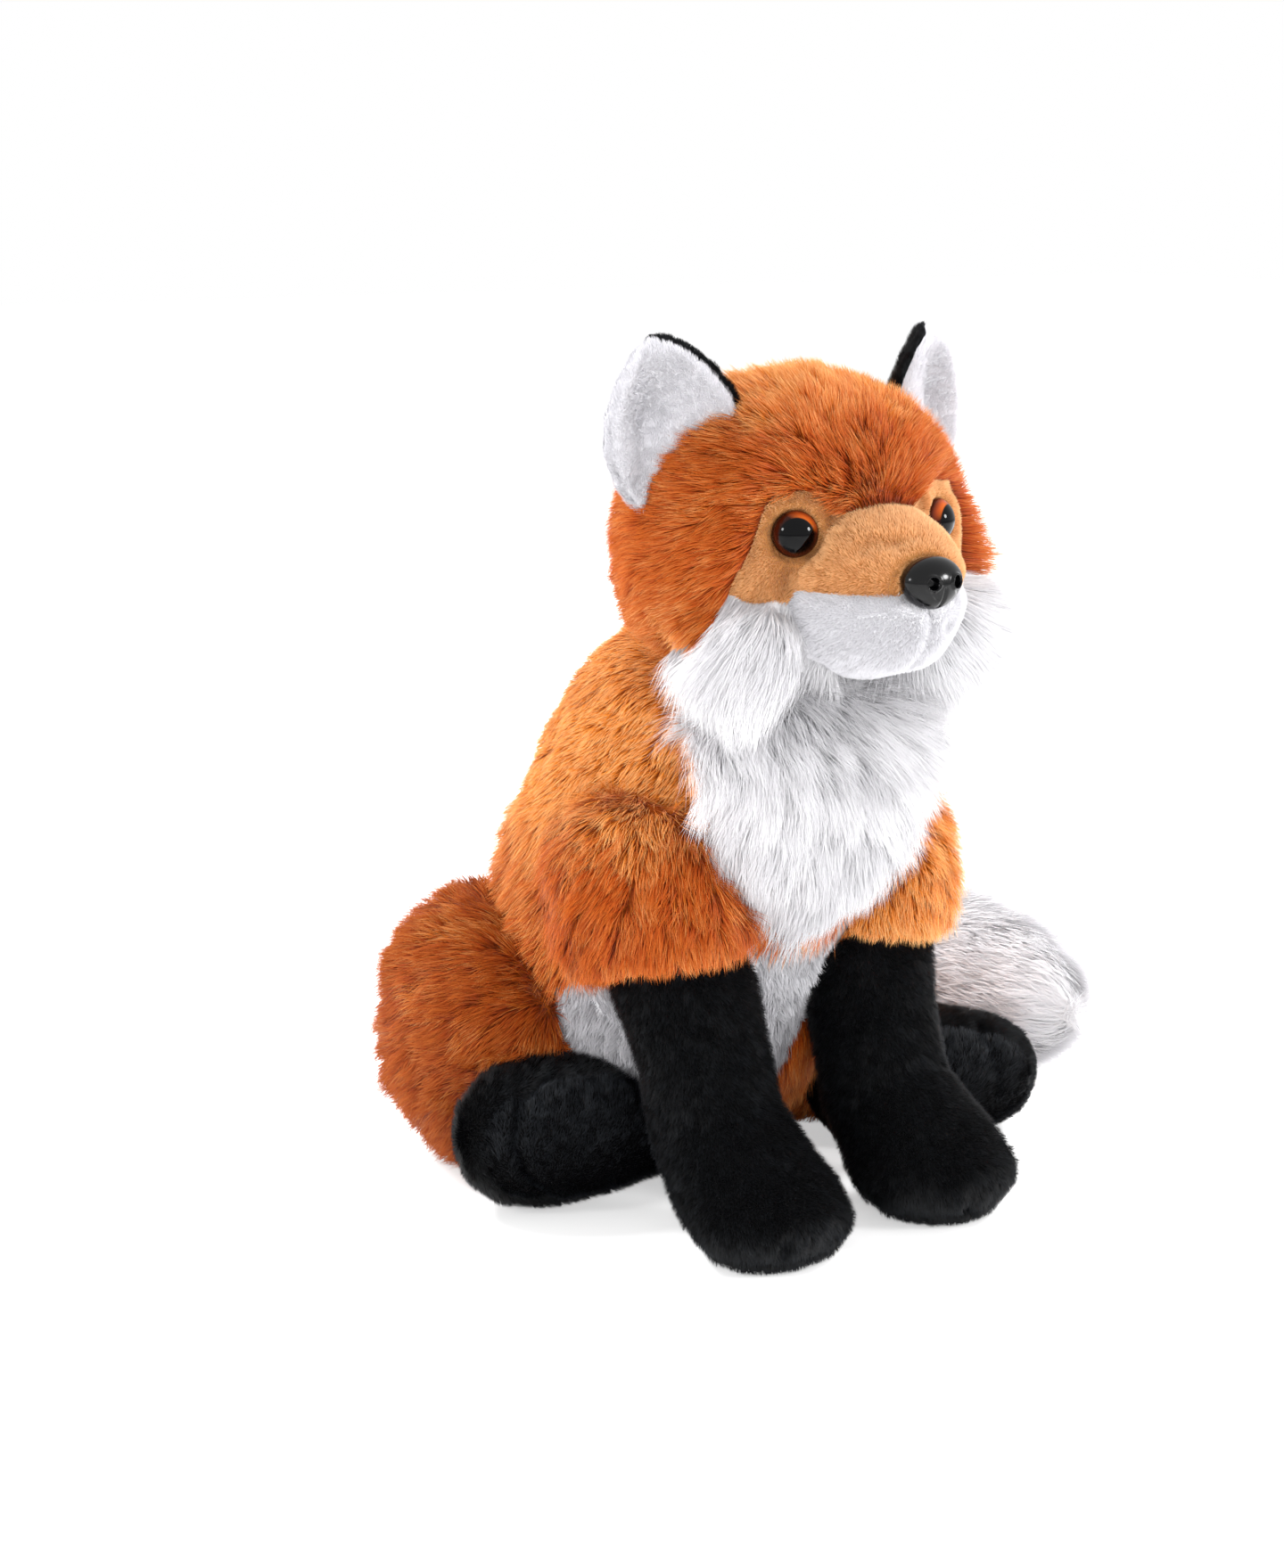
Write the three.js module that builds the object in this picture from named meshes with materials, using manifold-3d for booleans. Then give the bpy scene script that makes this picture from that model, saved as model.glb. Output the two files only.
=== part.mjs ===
// A seated plush fox, 304 mm tall, in millimetres with +Z up.
// It faces -Y, and its own left side is +X. The last lines shift all the pieces so that
// the middle of the flat of the seat is the origin.
// Each stuffed piece is a sewn skin round its own filling. A skin is open where it is
// sewn to its neighbour, and the smaller piece is cut to lie against the larger one.
import * as THREE from "three";
import { mergeVertices } from "three/addons/utils/BufferGeometryUtils.js";
import Module from "manifold-3d";

const wasm = await Module();
wasm.setup();

// Clearances and walls that every piece shares
const gap = 0.3; // between two sewn pieces that touch
const joinGap = 0.5; // between two pieces that move on each other
const longPileWall = 5; // backing cloth and the packed foot of the long pile
const shortPileWall = 2.6; // backing cloth and short plush
const floorSink = 0.5; // depth that the floor flattens a soft form
const overrun = 400; // how far a plain cutter reaches past what it cuts
const trim = 0.1; // edges shorter than this are merged after a cut

// Torso: a slanting sack from the seat up to the neck
const torso = {
  halfWidth: 66,
  halfDepth: 65,
  seatY: 66,
  bellyY: 56,
  bellyZ: 62,
  chestY: 28,
  chestZ: 132,
  neckY: 0,
  neckZ: 200,
  // share of the way up, of the half width and of the half depth
  ringShares: [
    [0, 0, 0],
    [0.004, 0.3, 0.3],
    [0.03, 0.56, 0.52],
    [0.08, 0.77, 0.65],
    [0.16, 0.93, 0.81],
    [0.28, 1, 0.95],
    [0.42, 1, 1],
    [0.56, 0.97, 1.02],
    [0.69, 0.92, 1],
    [0.81, 0.82, 0.92],
    [0.91, 0.66, 0.72],
    [0.975, 0.38, 0.4],
    [1, 0, 0],
  ],
};
const belly = { top: 100, back: 34 }; // the white panel is below and ahead of these

// Long-haired white bib, sewn into the chest
const bib = {
  top: 192,
  bottom: 101,
  halfWidth: 45,
  halfThickness: 24,
  topY: -26,
  middleY: -30,
  bottomY: -16,
  ringShares: [
    [0, 0, 0],
    [0.05, 0.2, 0.4],
    [0.2, 0.5, 0.72],
    [0.42, 0.82, 0.96],
    [0.64, 1, 1],
    [0.83, 0.93, 0.88],
    [0.95, 0.6, 0.55],
    [1, 0, 0],
  ],
};

// Neck: a stuffed ball that the head turns and nods on
const neck = { y: -8, z: 187, radius: 20, turn: 15, noseUp: 12, noseDown: 8 };

// Head: a wide, low ball
const head = {
  y: -18,
  bottom: 189,
  top: 287,
  halfWidth: 60,
  halfDepth: 50,
  ringShares: [
    [0, 0, 0],
    [0.025, 0.36, 0.36],
    [0.1, 0.68, 0.68],
    [0.22, 0.9, 0.9],
    [0.38, 1, 1],
    [0.55, 0.99, 1],
    [0.7, 0.91, 0.94],
    [0.83, 0.76, 0.8],
    [0.93, 0.54, 0.57],
    [0.985, 0.27, 0.28],
    [1, 0, 0],
  ],
};

// What sits on the head follows its height, as a share of the way up it
const headHeight = head.top - head.bottom;
const upHead = (share) => head.bottom + share * headHeight;

// Muzzle: an egg that lies along Y, tan above and white below
const muzzle = {
  rootY: -24,
  tipY: -92,
  rootShare: 0.36,
  tipShare: 0.34,
  halfWidth: 32,
  halfHeight: 0.315 * headHeight,
  whiteTopShare: 0.363, // height where its tan meets its white
  ringShares: [
    [0, 0, 0],
    [0.04, 0.55, 0.55],
    [0.2, 0.92, 0.92],
    [0.42, 1, 1],
    [0.62, 0.95, 0.9],
    [0.8, 0.77, 0.72],
    [0.92, 0.52, 0.5],
    [0.98, 0.26, 0.26],
    [1, 0, 0],
  ],
};

// Tan plush patch round each eye, an upright oval seen from the front
const patch = { x: 27, upShare: 0.48, halfWidth: 18, halfHeight: 0.199 * headHeight };

// Long-haired white cheek on each side, below the patch
const cheek = {
  x: 34,
  y: -38,
  upShare: 0.19,
  halfWidth: 21,
  halfDepth: 25,
  halfHeight: 0.21 * headHeight,
};

// Moulded eyes and nose: a front with a shank, held by a washer inside the skin
const shank = { radius: 2.4, washerRadius: 7, washerThickness: 1.6, end: 4 };
const eye = {
  x: 30,
  upShare: 0.544,
  facing: 28, // degrees that the eye turns outwards
  radius: 7.5,
  domeHeight: 5.2,
  rimHeight: 1.2,
  sink: 2.8, // how deep the rim sits in the plush
  domeSteps: 8,
};
const nose = {
  rise: 6.2, // how far its middle lies above the muzzle's tip
  halfWidth: 11.2,
  halfHeight: 8.4,
  halfDepth: 7.5,
  ahead: 2.5, // how far its middle lies behind the muzzle's tip
  nostrilX: 4.7,
  nostrilRise: 0.8,
  nostrilRadius: 2.2,
  nostrilRim: 0.7,
  grooveWidth: 0.9,
  grooveDepth: 1.3,
};

// Ears: cupped leaves of stiff cloth, black behind and white in front
const ear = {
  baseX: 43,
  baseY: -18,
  baseShare: 0.622,
  tipX: 55,
  tipY: -17,
  height: 54, // of the tip above the base
  halfWidth: 25,
  halfThickness: 4.2,
  facing: 22, // degrees that the front turns outwards
  cup: 7, // how far the rims come forward of the middle
  liningInset: 2.8,
  liningRise: 2.6, // how far the lining lies in front of the back
  fold: 12,
  ringShares: [
    [0, 0, 0],
    [0.03, 0.72, 0.9],
    [0.2, 0.93, 1],
    [0.4, 1, 1],
    [0.6, 0.88, 0.9],
    [0.78, 0.64, 0.75],
    [0.92, 0.34, 0.6],
    [1, 0, 0],
  ],
};

// Front leg: an orange sleeve over a black stocking with a paw
const sleeve = {
  topX: 47,
  topY: 8,
  topZ: 154,
  bottomX: 39,
  bottomY: -6,
  bottomZ: { right: 86, left: 80 }, // the left arm hangs lower
  halfWidth: 34,
  halfDepth: 38,
  ringShares: [
    [0, 0, 0],
    [0.04, 0.4, 0.42],
    [0.16, 0.72, 0.76],
    [0.38, 0.94, 0.96],
    [0.62, 1, 1],
    [0.82, 0.95, 0.95],
    [0.94, 0.7, 0.7],
    [1, 0, 0],
  ],
};
const frontLeg = {
  kneeX: 38,
  kneeY: -17,
  kneeZ: 84,
  ankleX: 36,
  ankleY: -34,
  ankleZ: 36,
  ballX: 37,
  ballY: -56,
  ballZ: 15,
  toeX: 38,
  toeY: -80,
  toeZ: 11,
  kneeDrift: -2, // how far both knees, and then both paws, lie to the left of a mirrored pair
  pawDrift: 3,
  halfWidth: 26,
  halfHeight: 22,
  soleTop: 6.5,
  ringShares: [
    [0, 0, 0],
    [0.05, 0.8, 0.8],
    [0.25, 0.98, 1],
    [0.45, 0.88, 0.92],
    [0.6, 0.9, 0.95],
    [0.72, 1.02, 0.98],
    [0.84, 1.08, 0.88],
    [0.93, 0.92, 0.7],
    [0.98, 0.54, 0.44],
    [1, 0, 0],
  ],
  pivotY: -2,
  pivotZ: 132,
  lift: 30,
};

// Hind leg: a round orange thigh on the hip, and a black stocking with a paw
const thigh = { x: 61, z: 50, halfWidth: 37, radius: 50.5 };
const foot = {
  halfWidth: 22,
  halfHeight: 27,
  length: 90,
  heelZ: 26.5,
  soleShare: 0.133, // share of the length ahead of the foot's middle where the sole starts
  lift: 12,
  ringShares: [
    [0, 0, 0],
    [0.04, 0.5, 0.52],
    [0.15, 0.82, 0.86],
    [0.34, 0.98, 1],
    [0.58, 0.98, 0.94],
    [0.8, 0.88, 0.8],
    [0.93, 0.64, 0.6],
    [0.985, 0.32, 0.3],
    [1, 0, 0],
  ],
};
// The two hind legs are posed apart: how far back the hip lies, the middle of the foot, the
// height of its toes, and the degrees that they turn towards the left from straight ahead
const hindPose = {
  right: { hipY: 75, x: -59, y: 22, toeZ: 30, turn: 76 },
  left: { hipY: 57, x: 84, y: 8, toeZ: 20, turn: 76 },
};

// Tail: a bushy sweep round the left side, orange with a white tip
const tail = {
  halfWidth: 30,
  halfHeight: 30,
  rootY: torso.seatY + 0.646 * torso.halfDepth,
  z: 29.4,
  side: 166, // how far to the left the sweep reaches
  back: 52, // how far behind its root the sweep reaches
  // places along the sweep, as shares of side and back from the root
  sweepShares: [
    [0, 0],
    [0.22, 0.76],
    [0.56, 1],
    [0.86, 0.38],
    [0.99, -0.62],
    [1, -1.69],
  ],
  tipShare: 0.64, // share of the sweep where the white tip starts
  swingIn: 5,
  swingOut: 14,
  ringShares: [
    [0, 0, 0],
    [0.05, 0.5, 0.5],
    [0.16, 0.64, 0.62],
    [0.34, 0.82, 0.78],
    [0.54, 0.96, 0.95],
    [0.64, 1, 1],
    [0.78, 0.98, 1],
    [0.88, 0.84, 0.88],
    [0.96, 0.54, 0.56],
    [1, 0, 0],
  ],
};

// How finely each kind of form is cut
const formSides = 16;
const limbSides = 14;
const hiddenSides = 8;
const ballSides = 18;
const mouldedSides = 20;
const shankSides = 8;
const sweepSteps = 3;

const colours = {
  orange: { color: 0xc06a2a, roughness: 0.95 },
  tan: { color: 0xc58950, roughness: 0.95 },
  white: { color: 0xe9e9ee, roughness: 0.95 },
  black: { color: 0x0d0d0f, roughness: 0.92 },
  filling: { color: 0xf4f4f0, roughness: 1 },
  eyePlastic: { color: 0x2a0e04, roughness: 0.08 },
  nosePlastic: { color: 0x141416, roughness: 0.3 },
  washerPlastic: { color: 0xe8e8e4, roughness: 0.5 },
};

const V = (x, y, z) => new THREE.Vector3(x, y, z);
const X = V(1, 0, 0);
const Z = V(0, 0, 1);
const radians = THREE.MathUtils.degToRad;

// A closed form round a curved spine, with a ring of points at each share of the way
// and a single point at either end. grow moves the whole surface outwards, and cup
// bends both sides of each ring towards the front.
function swell({ spine, side, wide, deep, shares, cup = 0 }, sides, grow) {
  const curve = new THREE.CatmullRomCurve3(spine, false, "centripetal");
  const last = shares.length - 1;
  const rings = shares.map(([along, wideShare, deepShare]) => {
    const ahead = curve.getTangentAt(along);
    const across = side.clone().addScaledVector(ahead, -side.dot(ahead)).normalize();
    const front = new THREE.Vector3().crossVectors(ahead, across);
    const middle = curve.getPointAt(along).addScaledVector(ahead, grow * (2 * along - 1));
    return { middle, across, front, a: wideShare * wide + grow, b: deepShare * deep + grow };
  });
  const points = [rings[0].middle];
  for (const { middle, across, front, a, b } of rings.slice(1, last)) {
    for (let k = 0; k < sides; k++) {
      const turn = (2 * Math.PI * k) / sides;
      const reach = Math.cos(turn);
      const forward = b * Math.sin(turn) + cup * reach * reach;
      points.push(middle.clone().addScaledVector(across, a * reach).addScaledVector(front, forward));
    }
  }
  points.push(rings[last].middle);
  const at = (ring, k) => 1 + (ring - 1) * sides + (k % sides);
  const faces = [];
  for (let k = 0; k < sides; k++) {
    faces.push(0, at(1, k + 1), at(1, k));
    for (let ring = 1; ring < last - 1; ring++) {
      faces.push(at(ring, k), at(ring, k + 1), at(ring + 1, k + 1));
      faces.push(at(ring, k), at(ring + 1, k + 1), at(ring + 1, k));
    }
    faces.push(points.length - 1, at(last - 1, k), at(last - 1, k + 1));
  }
  return new THREE.BufferGeometry().setFromPoints(points).setIndex(faces);
}

// A ball about a centre, stretched to three half sizes
function ball([x, y, z], [a, b, c], grow, sides) {
  const round = new THREE.SphereGeometry(1, sides, sides / 2).rotateX(Math.PI / 2);
  return round.scale(a + grow, b + grow, c + grow).translate(x, y, z);
}

// A box between two corners
function box([x0, y0, z0], [x1, y1, z1]) {
  const middle = [(x0 + x1) / 2, (y0 + y1) / 2, (z0 + z1) / 2];
  return new THREE.BoxGeometry(x1 - x0, y1 - y0, z1 - z0).translate(...middle);
}

// A geometry as a solid that can be joined and cut
function solid(geometry) {
  const bare = geometry.clone();
  bare.deleteAttribute("normal");
  bare.deleteAttribute("uv");
  const merged = mergeVertices(bare, 1e-4);
  const vertProperties = new Float32Array(merged.attributes.position.array);
  const triVerts = new Uint32Array(merged.index.array);
  return new wasm.Manifold(new wasm.Mesh({ numProp: 3, vertProperties, triVerts }));
}

const without = (whole, ...cutters) => cutters.reduce((left, cutter) => left.subtract(cutter), whole);
const joined = (...solids) => solids.reduce((all, one) => all.add(one));

// The geometry of a finished solid: its largest body, without short edges
function shape(made) {
  const [largest] = made.decompose().sort((a, b) => b.volume() - a.volume());
  const mesh = largest.simplify(trim).getMesh();
  const geometry = new THREE.BufferGeometry();
  geometry.setAttribute("position", new THREE.BufferAttribute(mesh.vertProperties, 3));
  return geometry.setIndex(new THREE.BufferAttribute(mesh.triVerts, 1));
}

function node(name, made, finish) {
  const mesh = new THREE.Mesh(shape(made), new THREE.MeshStandardMaterial(finish));
  mesh.name = name;
  return mesh;
}

// A turn by some degrees about an axis through a point, as a matrix
function turned(pivot, axis, degrees) {
  return new THREE.Matrix4()
    .makeTranslation(pivot)
    .multiply(new THREE.Matrix4().makeRotationAxis(axis, radians(degrees)))
    .multiply(new THREE.Matrix4().makeTranslation(pivot.clone().negate()));
}

// Evenly spaced angles from low to high, with both ends
const anglesBetween = (low, high) =>
  Array.from({ length: sweepSteps + 1 }, (_, i) => low + ((high - low) * i) / sweepSteps);

// The room that a form takes while it turns through the given matrices
function room(geometry, turns) {
  const place = geometry.attributes.position;
  const points = [];
  for (const turn of turns) {
    for (let i = 0; i < place.count; i++) {
      points.push(V(0, 0, 0).fromBufferAttribute(place, i).applyMatrix4(turn).toArray());
    }
  }
  return wasm.Manifold.hull(points);
}

// Where a ray from inside a form leaves it
function leaving(geometry, from, direction) {
  const surface = new THREE.Mesh(geometry, new THREE.MeshBasicMaterial({ side: THREE.DoubleSide }));
  return new THREE.Raycaster(from, direction).intersectObject(surface).at(-1).point;
}

const belowFloor = solid(box([-overrun, -overrun, -overrun], [overrun, overrun, 0]));
const onFloor = (made) => made.subtract(belowFloor);

// The outer forms, before any cut

function torsoForm(sides, grow) {
  const spine = [
    V(0, torso.seatY, -floorSink),
    V(0, torso.bellyY, torso.bellyZ),
    V(0, torso.chestY, torso.chestZ),
    V(0, torso.neckY, torso.neckZ),
  ];
  const sizes = { wide: torso.halfWidth, deep: torso.halfDepth, shares: torso.ringShares };
  return swell({ spine, side: X, ...sizes }, sides, grow);
}

function bibForm(sides, grow) {
  const spine = [
    V(0, bib.bottomY, bib.bottom),
    V(0, bib.middleY, (bib.bottom + bib.top) / 2),
    V(0, bib.topY, bib.top),
  ];
  const sizes = { wide: bib.halfWidth, deep: bib.halfThickness, shares: bib.ringShares };
  return swell({ spine, side: X, ...sizes }, sides, grow);
}

function headForm(sides, grow) {
  const spine = [V(0, head.y, head.bottom), V(0, head.y, head.top)];
  const sizes = { wide: head.halfWidth, deep: head.halfDepth, shares: head.ringShares };
  return swell({ spine, side: X, ...sizes }, sides, grow);
}

function muzzleForm(sides, grow) {
  const spine = [V(0, muzzle.rootY, upHead(muzzle.rootShare)), V(0, muzzle.tipY, upHead(muzzle.tipShare))];
  const sizes = { wide: muzzle.halfWidth, deep: muzzle.halfHeight, shares: muzzle.ringShares };
  return swell({ spine, side: X, ...sizes }, sides, grow);
}

function cheekForm(s, grow) {
  const sizes = [cheek.halfWidth, cheek.halfDepth, cheek.halfHeight];
  return ball([s * cheek.x, cheek.y, upHead(cheek.upShare)], sizes, grow, limbSides);
}

const earBase = (s) => V(s * ear.baseX, ear.baseY, upHead(ear.baseShare));
const earTip = (s, inset) => V(s * ear.tipX, ear.tipY, upHead(ear.baseShare) + ear.height - inset);

// The leaf of an ear, narrowed by inset and moved ahead by rise
function earForm(s, grow, inset, rise) {
  const front = V(s * Math.sin(radians(ear.facing)), -Math.cos(radians(ear.facing)), 0);
  const side = V(front.y, -front.x, 0);
  const base = earBase(s).addScaledVector(front, rise);
  const tip = earTip(s, inset).addScaledVector(front, rise);
  const sizes = { wide: ear.halfWidth - inset, deep: ear.halfThickness, shares: ear.ringShares };
  return swell({ spine: [base, tip], side, ...sizes, cup: ear.cup }, limbSides, grow);
}

const sideOf = (s) => (s < 0 ? "right" : "left");

function sleeveForm(s, sides, grow) {
  const spine = [
    V(s * sleeve.topX, sleeve.topY, sleeve.topZ),
    V(s * sleeve.bottomX, sleeve.bottomY, sleeve.bottomZ[sideOf(s)]),
  ];
  const sizes = { wide: sleeve.halfWidth, deep: sleeve.halfDepth, shares: sleeve.ringShares };
  return swell({ spine, side: X, ...sizes }, sides, grow);
}

function frontLegForm(s, sides, grow) {
  const spine = [
    V(s * sleeve.topX, sleeve.topY, (sleeve.topZ + sleeve.bottomZ.right) / 2),
    V(s * frontLeg.kneeX + frontLeg.kneeDrift, frontLeg.kneeY, frontLeg.kneeZ),
    V(s * frontLeg.ankleX + frontLeg.kneeDrift, frontLeg.ankleY, frontLeg.ankleZ),
    V(s * frontLeg.ballX + frontLeg.pawDrift, frontLeg.ballY, frontLeg.ballZ),
    V(s * frontLeg.toeX + frontLeg.pawDrift, frontLeg.toeY, frontLeg.toeZ),
  ];
  const sizes = { wide: frontLeg.halfWidth, deep: frontLeg.halfHeight, shares: frontLeg.ringShares };
  return swell({ spine, side: X, ...sizes }, sides, grow);
}

const thighForm = (s, pose, sides, grow) =>
  ball([s * thigh.x, pose.hipY, thigh.z], [thigh.halfWidth, thigh.radius, thigh.radius], grow, sides);

const footAhead = (pose) => V(Math.sin(radians(pose.turn)), -Math.cos(radians(pose.turn)), 0);

function footForm(pose, sides, grow) {
  const ahead = footAhead(pose);
  const heel = V(pose.x, pose.y, foot.heelZ).addScaledVector(ahead, -foot.length / 2);
  const toe = V(pose.x, pose.y, pose.toeZ).addScaledVector(ahead, foot.length / 2);
  const sizes = { wide: foot.halfWidth, deep: foot.halfHeight, shares: foot.ringShares };
  return swell({ spine: [heel, toe], side: V(-ahead.y, ahead.x, 0), ...sizes }, sides, grow);
}

const tailSpine = tail.sweepShares.map(([out, back]) =>
  V(out * tail.side, tail.rootY + back * tail.back, tail.z),
);

function tailForm(sides, grow) {
  const sizes = { wide: tail.halfHeight, deep: tail.halfWidth, shares: tail.ringShares };
  return swell({ spine: tailSpine, side: Z, ...sizes }, sides, grow);
}

// Each joint's pivot, axis and the angles that it turns through

const neckPivot = V(0, neck.y, neck.z);
const headTurns = anglesBetween(-neck.turn, neck.turn).flatMap((turn) =>
  anglesBetween(-neck.noseUp, neck.noseDown).map((nod) =>
    turned(neckPivot, Z, turn).multiply(turned(neckPivot, X, nod)),
  ),
);
const shoulder = V(0, frontLeg.pivotY, frontLeg.pivotZ);
const hip = (pose) => V(0, pose.hipY, thigh.z);
const tailRoot = V(0, tail.rootY, tail.z);
const passed = (pivot, axis, low, high) =>
  anglesBetween(-high, -low).map((angle) => turned(pivot, axis, angle));

// What the fixed torso and its bib sweep past a limb, seen from the limb
function torsoRoom(turns) {
  return joined(
    room(torsoForm(formSides, joinGap), turns),
    room(bibForm(limbSides, joinGap), turns),
  );
}

// What a thigh sweeps past the front leg on its side, seen from that leg
function thighRoom(s) {
  const pose = hindPose[sideOf(s)];
  const lifts = anglesBetween(-foot.lift, 0).map((angle) => turned(hip(pose), X, angle));
  const turns = passed(shoulder, X, -frontLeg.lift, 0).flatMap((turn) =>
    lifts.map((lift) => turn.clone().multiply(lift)),
  );
  return room(thighForm(s, pose, formSides, joinGap), turns);
}

// A ball about the middle of the neck
const neckBall = (radius) => solid(ball([0, neck.y, neck.z], [radius, radius, radius], 0, ballSides));

// The room that the neck turns in: its flat facets clear the ball's corners
const neckRoom = () => neckBall((neck.radius + gap) / Math.cos(Math.PI / ballSides) ** 2);

function makeTorso() {
  const whole = solid(torsoForm(formSides, 0));
  const hollow = solid(torsoForm(hiddenSides, -longPileWall));
  const packed = solid(torsoForm(hiddenSides, -longPileWall - gap));
  const chest = solid(bibForm(limbSides, 0));
  const chestSeam = solid(bibForm(limbSides, gap));
  const headRoom = joined(
    room(headForm(formSides, joinGap), headTurns),
    room(muzzleForm(formSides, joinGap), headTurns),
    room(cheekForm(1, joinGap), headTurns),
    room(cheekForm(-1, joinGap), headTurns),
    neckRoom(),
  );
  const low = [-overrun, -overrun, -overrun];
  const bellySide = solid(box(low, [overrun, belly.back, belly.top]));
  const bellySeam = solid(box(low, [overrun, belly.back + gap, belly.top + gap]));
  const skin = onFloor(without(whole, hollow, headRoom));
  const group = new THREE.Group();
  group.add(node("back_panel", without(skin, bellySeam, chestSeam), colours.orange));
  group.add(node("belly_panel", skin.intersect(bellySide).subtract(chestSeam), colours.white));
  group.add(node("chest_bib", without(chest, hollow, headRoom), colours.white));
  group.add(node("torso_filling", without(packed, headRoom), colours.filling));
  return group;
}

function makeNeck() {
  return node("neck_filling", neckBall(neck.radius), colours.filling);
}

// A shank along -Z from the origin, grown all round
function shankForm(length, grow) {
  const made = new THREE.CylinderGeometry(shank.radius + grow, shank.radius + grow, length, shankSides);
  return made.rotateX(Math.PI / 2).translate(0, 0, -length / 2);
}

// A washer on that shank with its front at the given depth, grown all round
function washerForm(depth, hole, grow) {
  const near = -depth + grow;
  const far = -depth - shank.washerThickness - grow;
  const rim = shank.washerRadius + grow;
  const profile = [
    new THREE.Vector2(hole, far),
    new THREE.Vector2(rim, far),
    new THREE.Vector2(rim, near),
    new THREE.Vector2(hole, near),
    new THREE.Vector2(hole, far),
  ];
  return new THREE.LatheGeometry(profile, shankSides).rotateX(Math.PI / 2);
}

// An eye about the origin that looks along +Z: a low dome on a rim
function eyeForm(grow) {
  const rise = eye.domeHeight;
  const arcRadius = (eye.radius ** 2 + rise ** 2) / (2 * rise);
  const arcAngle = Math.asin(eye.radius / arcRadius);
  const profile = [new THREE.Vector2(0, -eye.rimHeight - grow)];
  profile.push(new THREE.Vector2(eye.radius + grow, -eye.rimHeight - grow));
  for (let i = 0; i < eye.domeSteps; i++) {
    const angle = arcAngle * (1 - i / eye.domeSteps);
    const height = arcRadius * Math.cos(angle) - arcRadius + rise;
    profile.push(new THREE.Vector2(arcRadius * Math.sin(angle) + grow, height));
  }
  profile.push(new THREE.Vector2(0, rise + grow));
  return new THREE.LatheGeometry(profile, mouldedSides).rotateX(Math.PI / 2);
}

// The matrix that carries a moulded piece from the origin to its seat
function seated(point, direction) {
  const turn = new THREE.Quaternion().setFromUnitVectors(Z, direction.clone().normalize());
  return new THREE.Matrix4().compose(point, turn, V(1, 1, 1));
}

// The eye, its washer and the rooms that they need, on one side of the face
function makeEye(s) {
  const direction = V(s * Math.sin(radians(eye.facing)), -Math.cos(radians(eye.facing)), 0);
  const inside = V(s * eye.x, head.y, upHead(eye.upShare));
  const surface = leaving(headForm(formSides, 0), inside, V(0, -1, 0));
  const place = seated(surface.addScaledVector(direction, eye.rimHeight - eye.sink), direction);
  const washerDepth = longPileWall + eye.rimHeight;
  const length = washerDepth + shank.washerThickness + shank.end;
  const at = (geometry) => solid(geometry.applyMatrix4(place));
  return {
    front: joined(at(eyeForm(0)), at(shankForm(length, 0))),
    washer: at(washerForm(washerDepth, shank.radius + gap, 0)),
    frontRoom: joined(at(eyeForm(gap)), at(shankForm(length + gap, gap))),
    washerRoom: at(washerForm(washerDepth, 0, gap)),
  };
}

// The nose, its washer and the rooms that they need, at the muzzle's tip
function makeNose() {
  const centre = V(0, muzzle.tipY + nose.ahead, upHead(muzzle.tipShare) + nose.rise);
  const place = seated(centre, V(0, -1, 0));
  const washerDepth = nose.ahead + shortPileWall + nose.halfDepth;
  const length = washerDepth + shank.washerThickness + shank.end;
  const at = (geometry) => solid(geometry.applyMatrix4(place));
  const sizes = [nose.halfWidth, nose.halfDepth, nose.halfHeight];
  const centreAt = centre.toArray();
  const body = solid(ball(centreAt, sizes, 0, mouldedSides));
  const front = centre.y - nose.halfDepth;
  const rims = [];
  const pits = [];
  for (const s of [-1, 1]) {
    const from = V(s * nose.nostrilX, centre.y, centre.z + nose.nostrilRise);
    const mouth = leaving(ball(centreAt, sizes, 0, mouldedSides), from, V(0, -1, 0));
    const around = seated(mouth, V(s * nose.nostrilX, -nose.halfDepth, 0));
    const ring = new THREE.TorusGeometry(nose.nostrilRadius, nose.nostrilRim, limbSides / 2, limbSides);
    rims.push(solid(ring.applyMatrix4(around)));
    const pit = nose.nostrilRadius;
    pits.push(solid(ball(mouth.toArray(), [pit, pit, pit], 0, limbSides)));
  }
  const groove = solid(
    box(
      [-nose.grooveWidth / 2, front - nose.grooveDepth, centre.z - nose.halfHeight],
      [nose.grooveWidth / 2, front + nose.grooveDepth, centre.z - nose.nostrilRise],
    ),
  );
  return {
    front: joined(without(body, ...pits, groove), ...rims, at(shankForm(length, 0))),
    washer: at(washerForm(washerDepth, shank.radius + gap, 0)),
    frontRoom: joined(solid(ball(centreAt, sizes, gap, mouldedSides)), at(shankForm(length + gap, gap))),
    washerRoom: at(washerForm(washerDepth, 0, gap)),
  };
}

function patchPrism(s, grow) {
  const half = head.halfDepth + longPileWall;
  const oval = new THREE.CylinderGeometry(1, 1, half, limbSides);
  oval.scale(patch.halfWidth + grow, 1, patch.halfHeight + grow);
  return solid(oval.translate(s * patch.x, head.y - half / 2, upHead(patch.upShare)));
}

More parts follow.
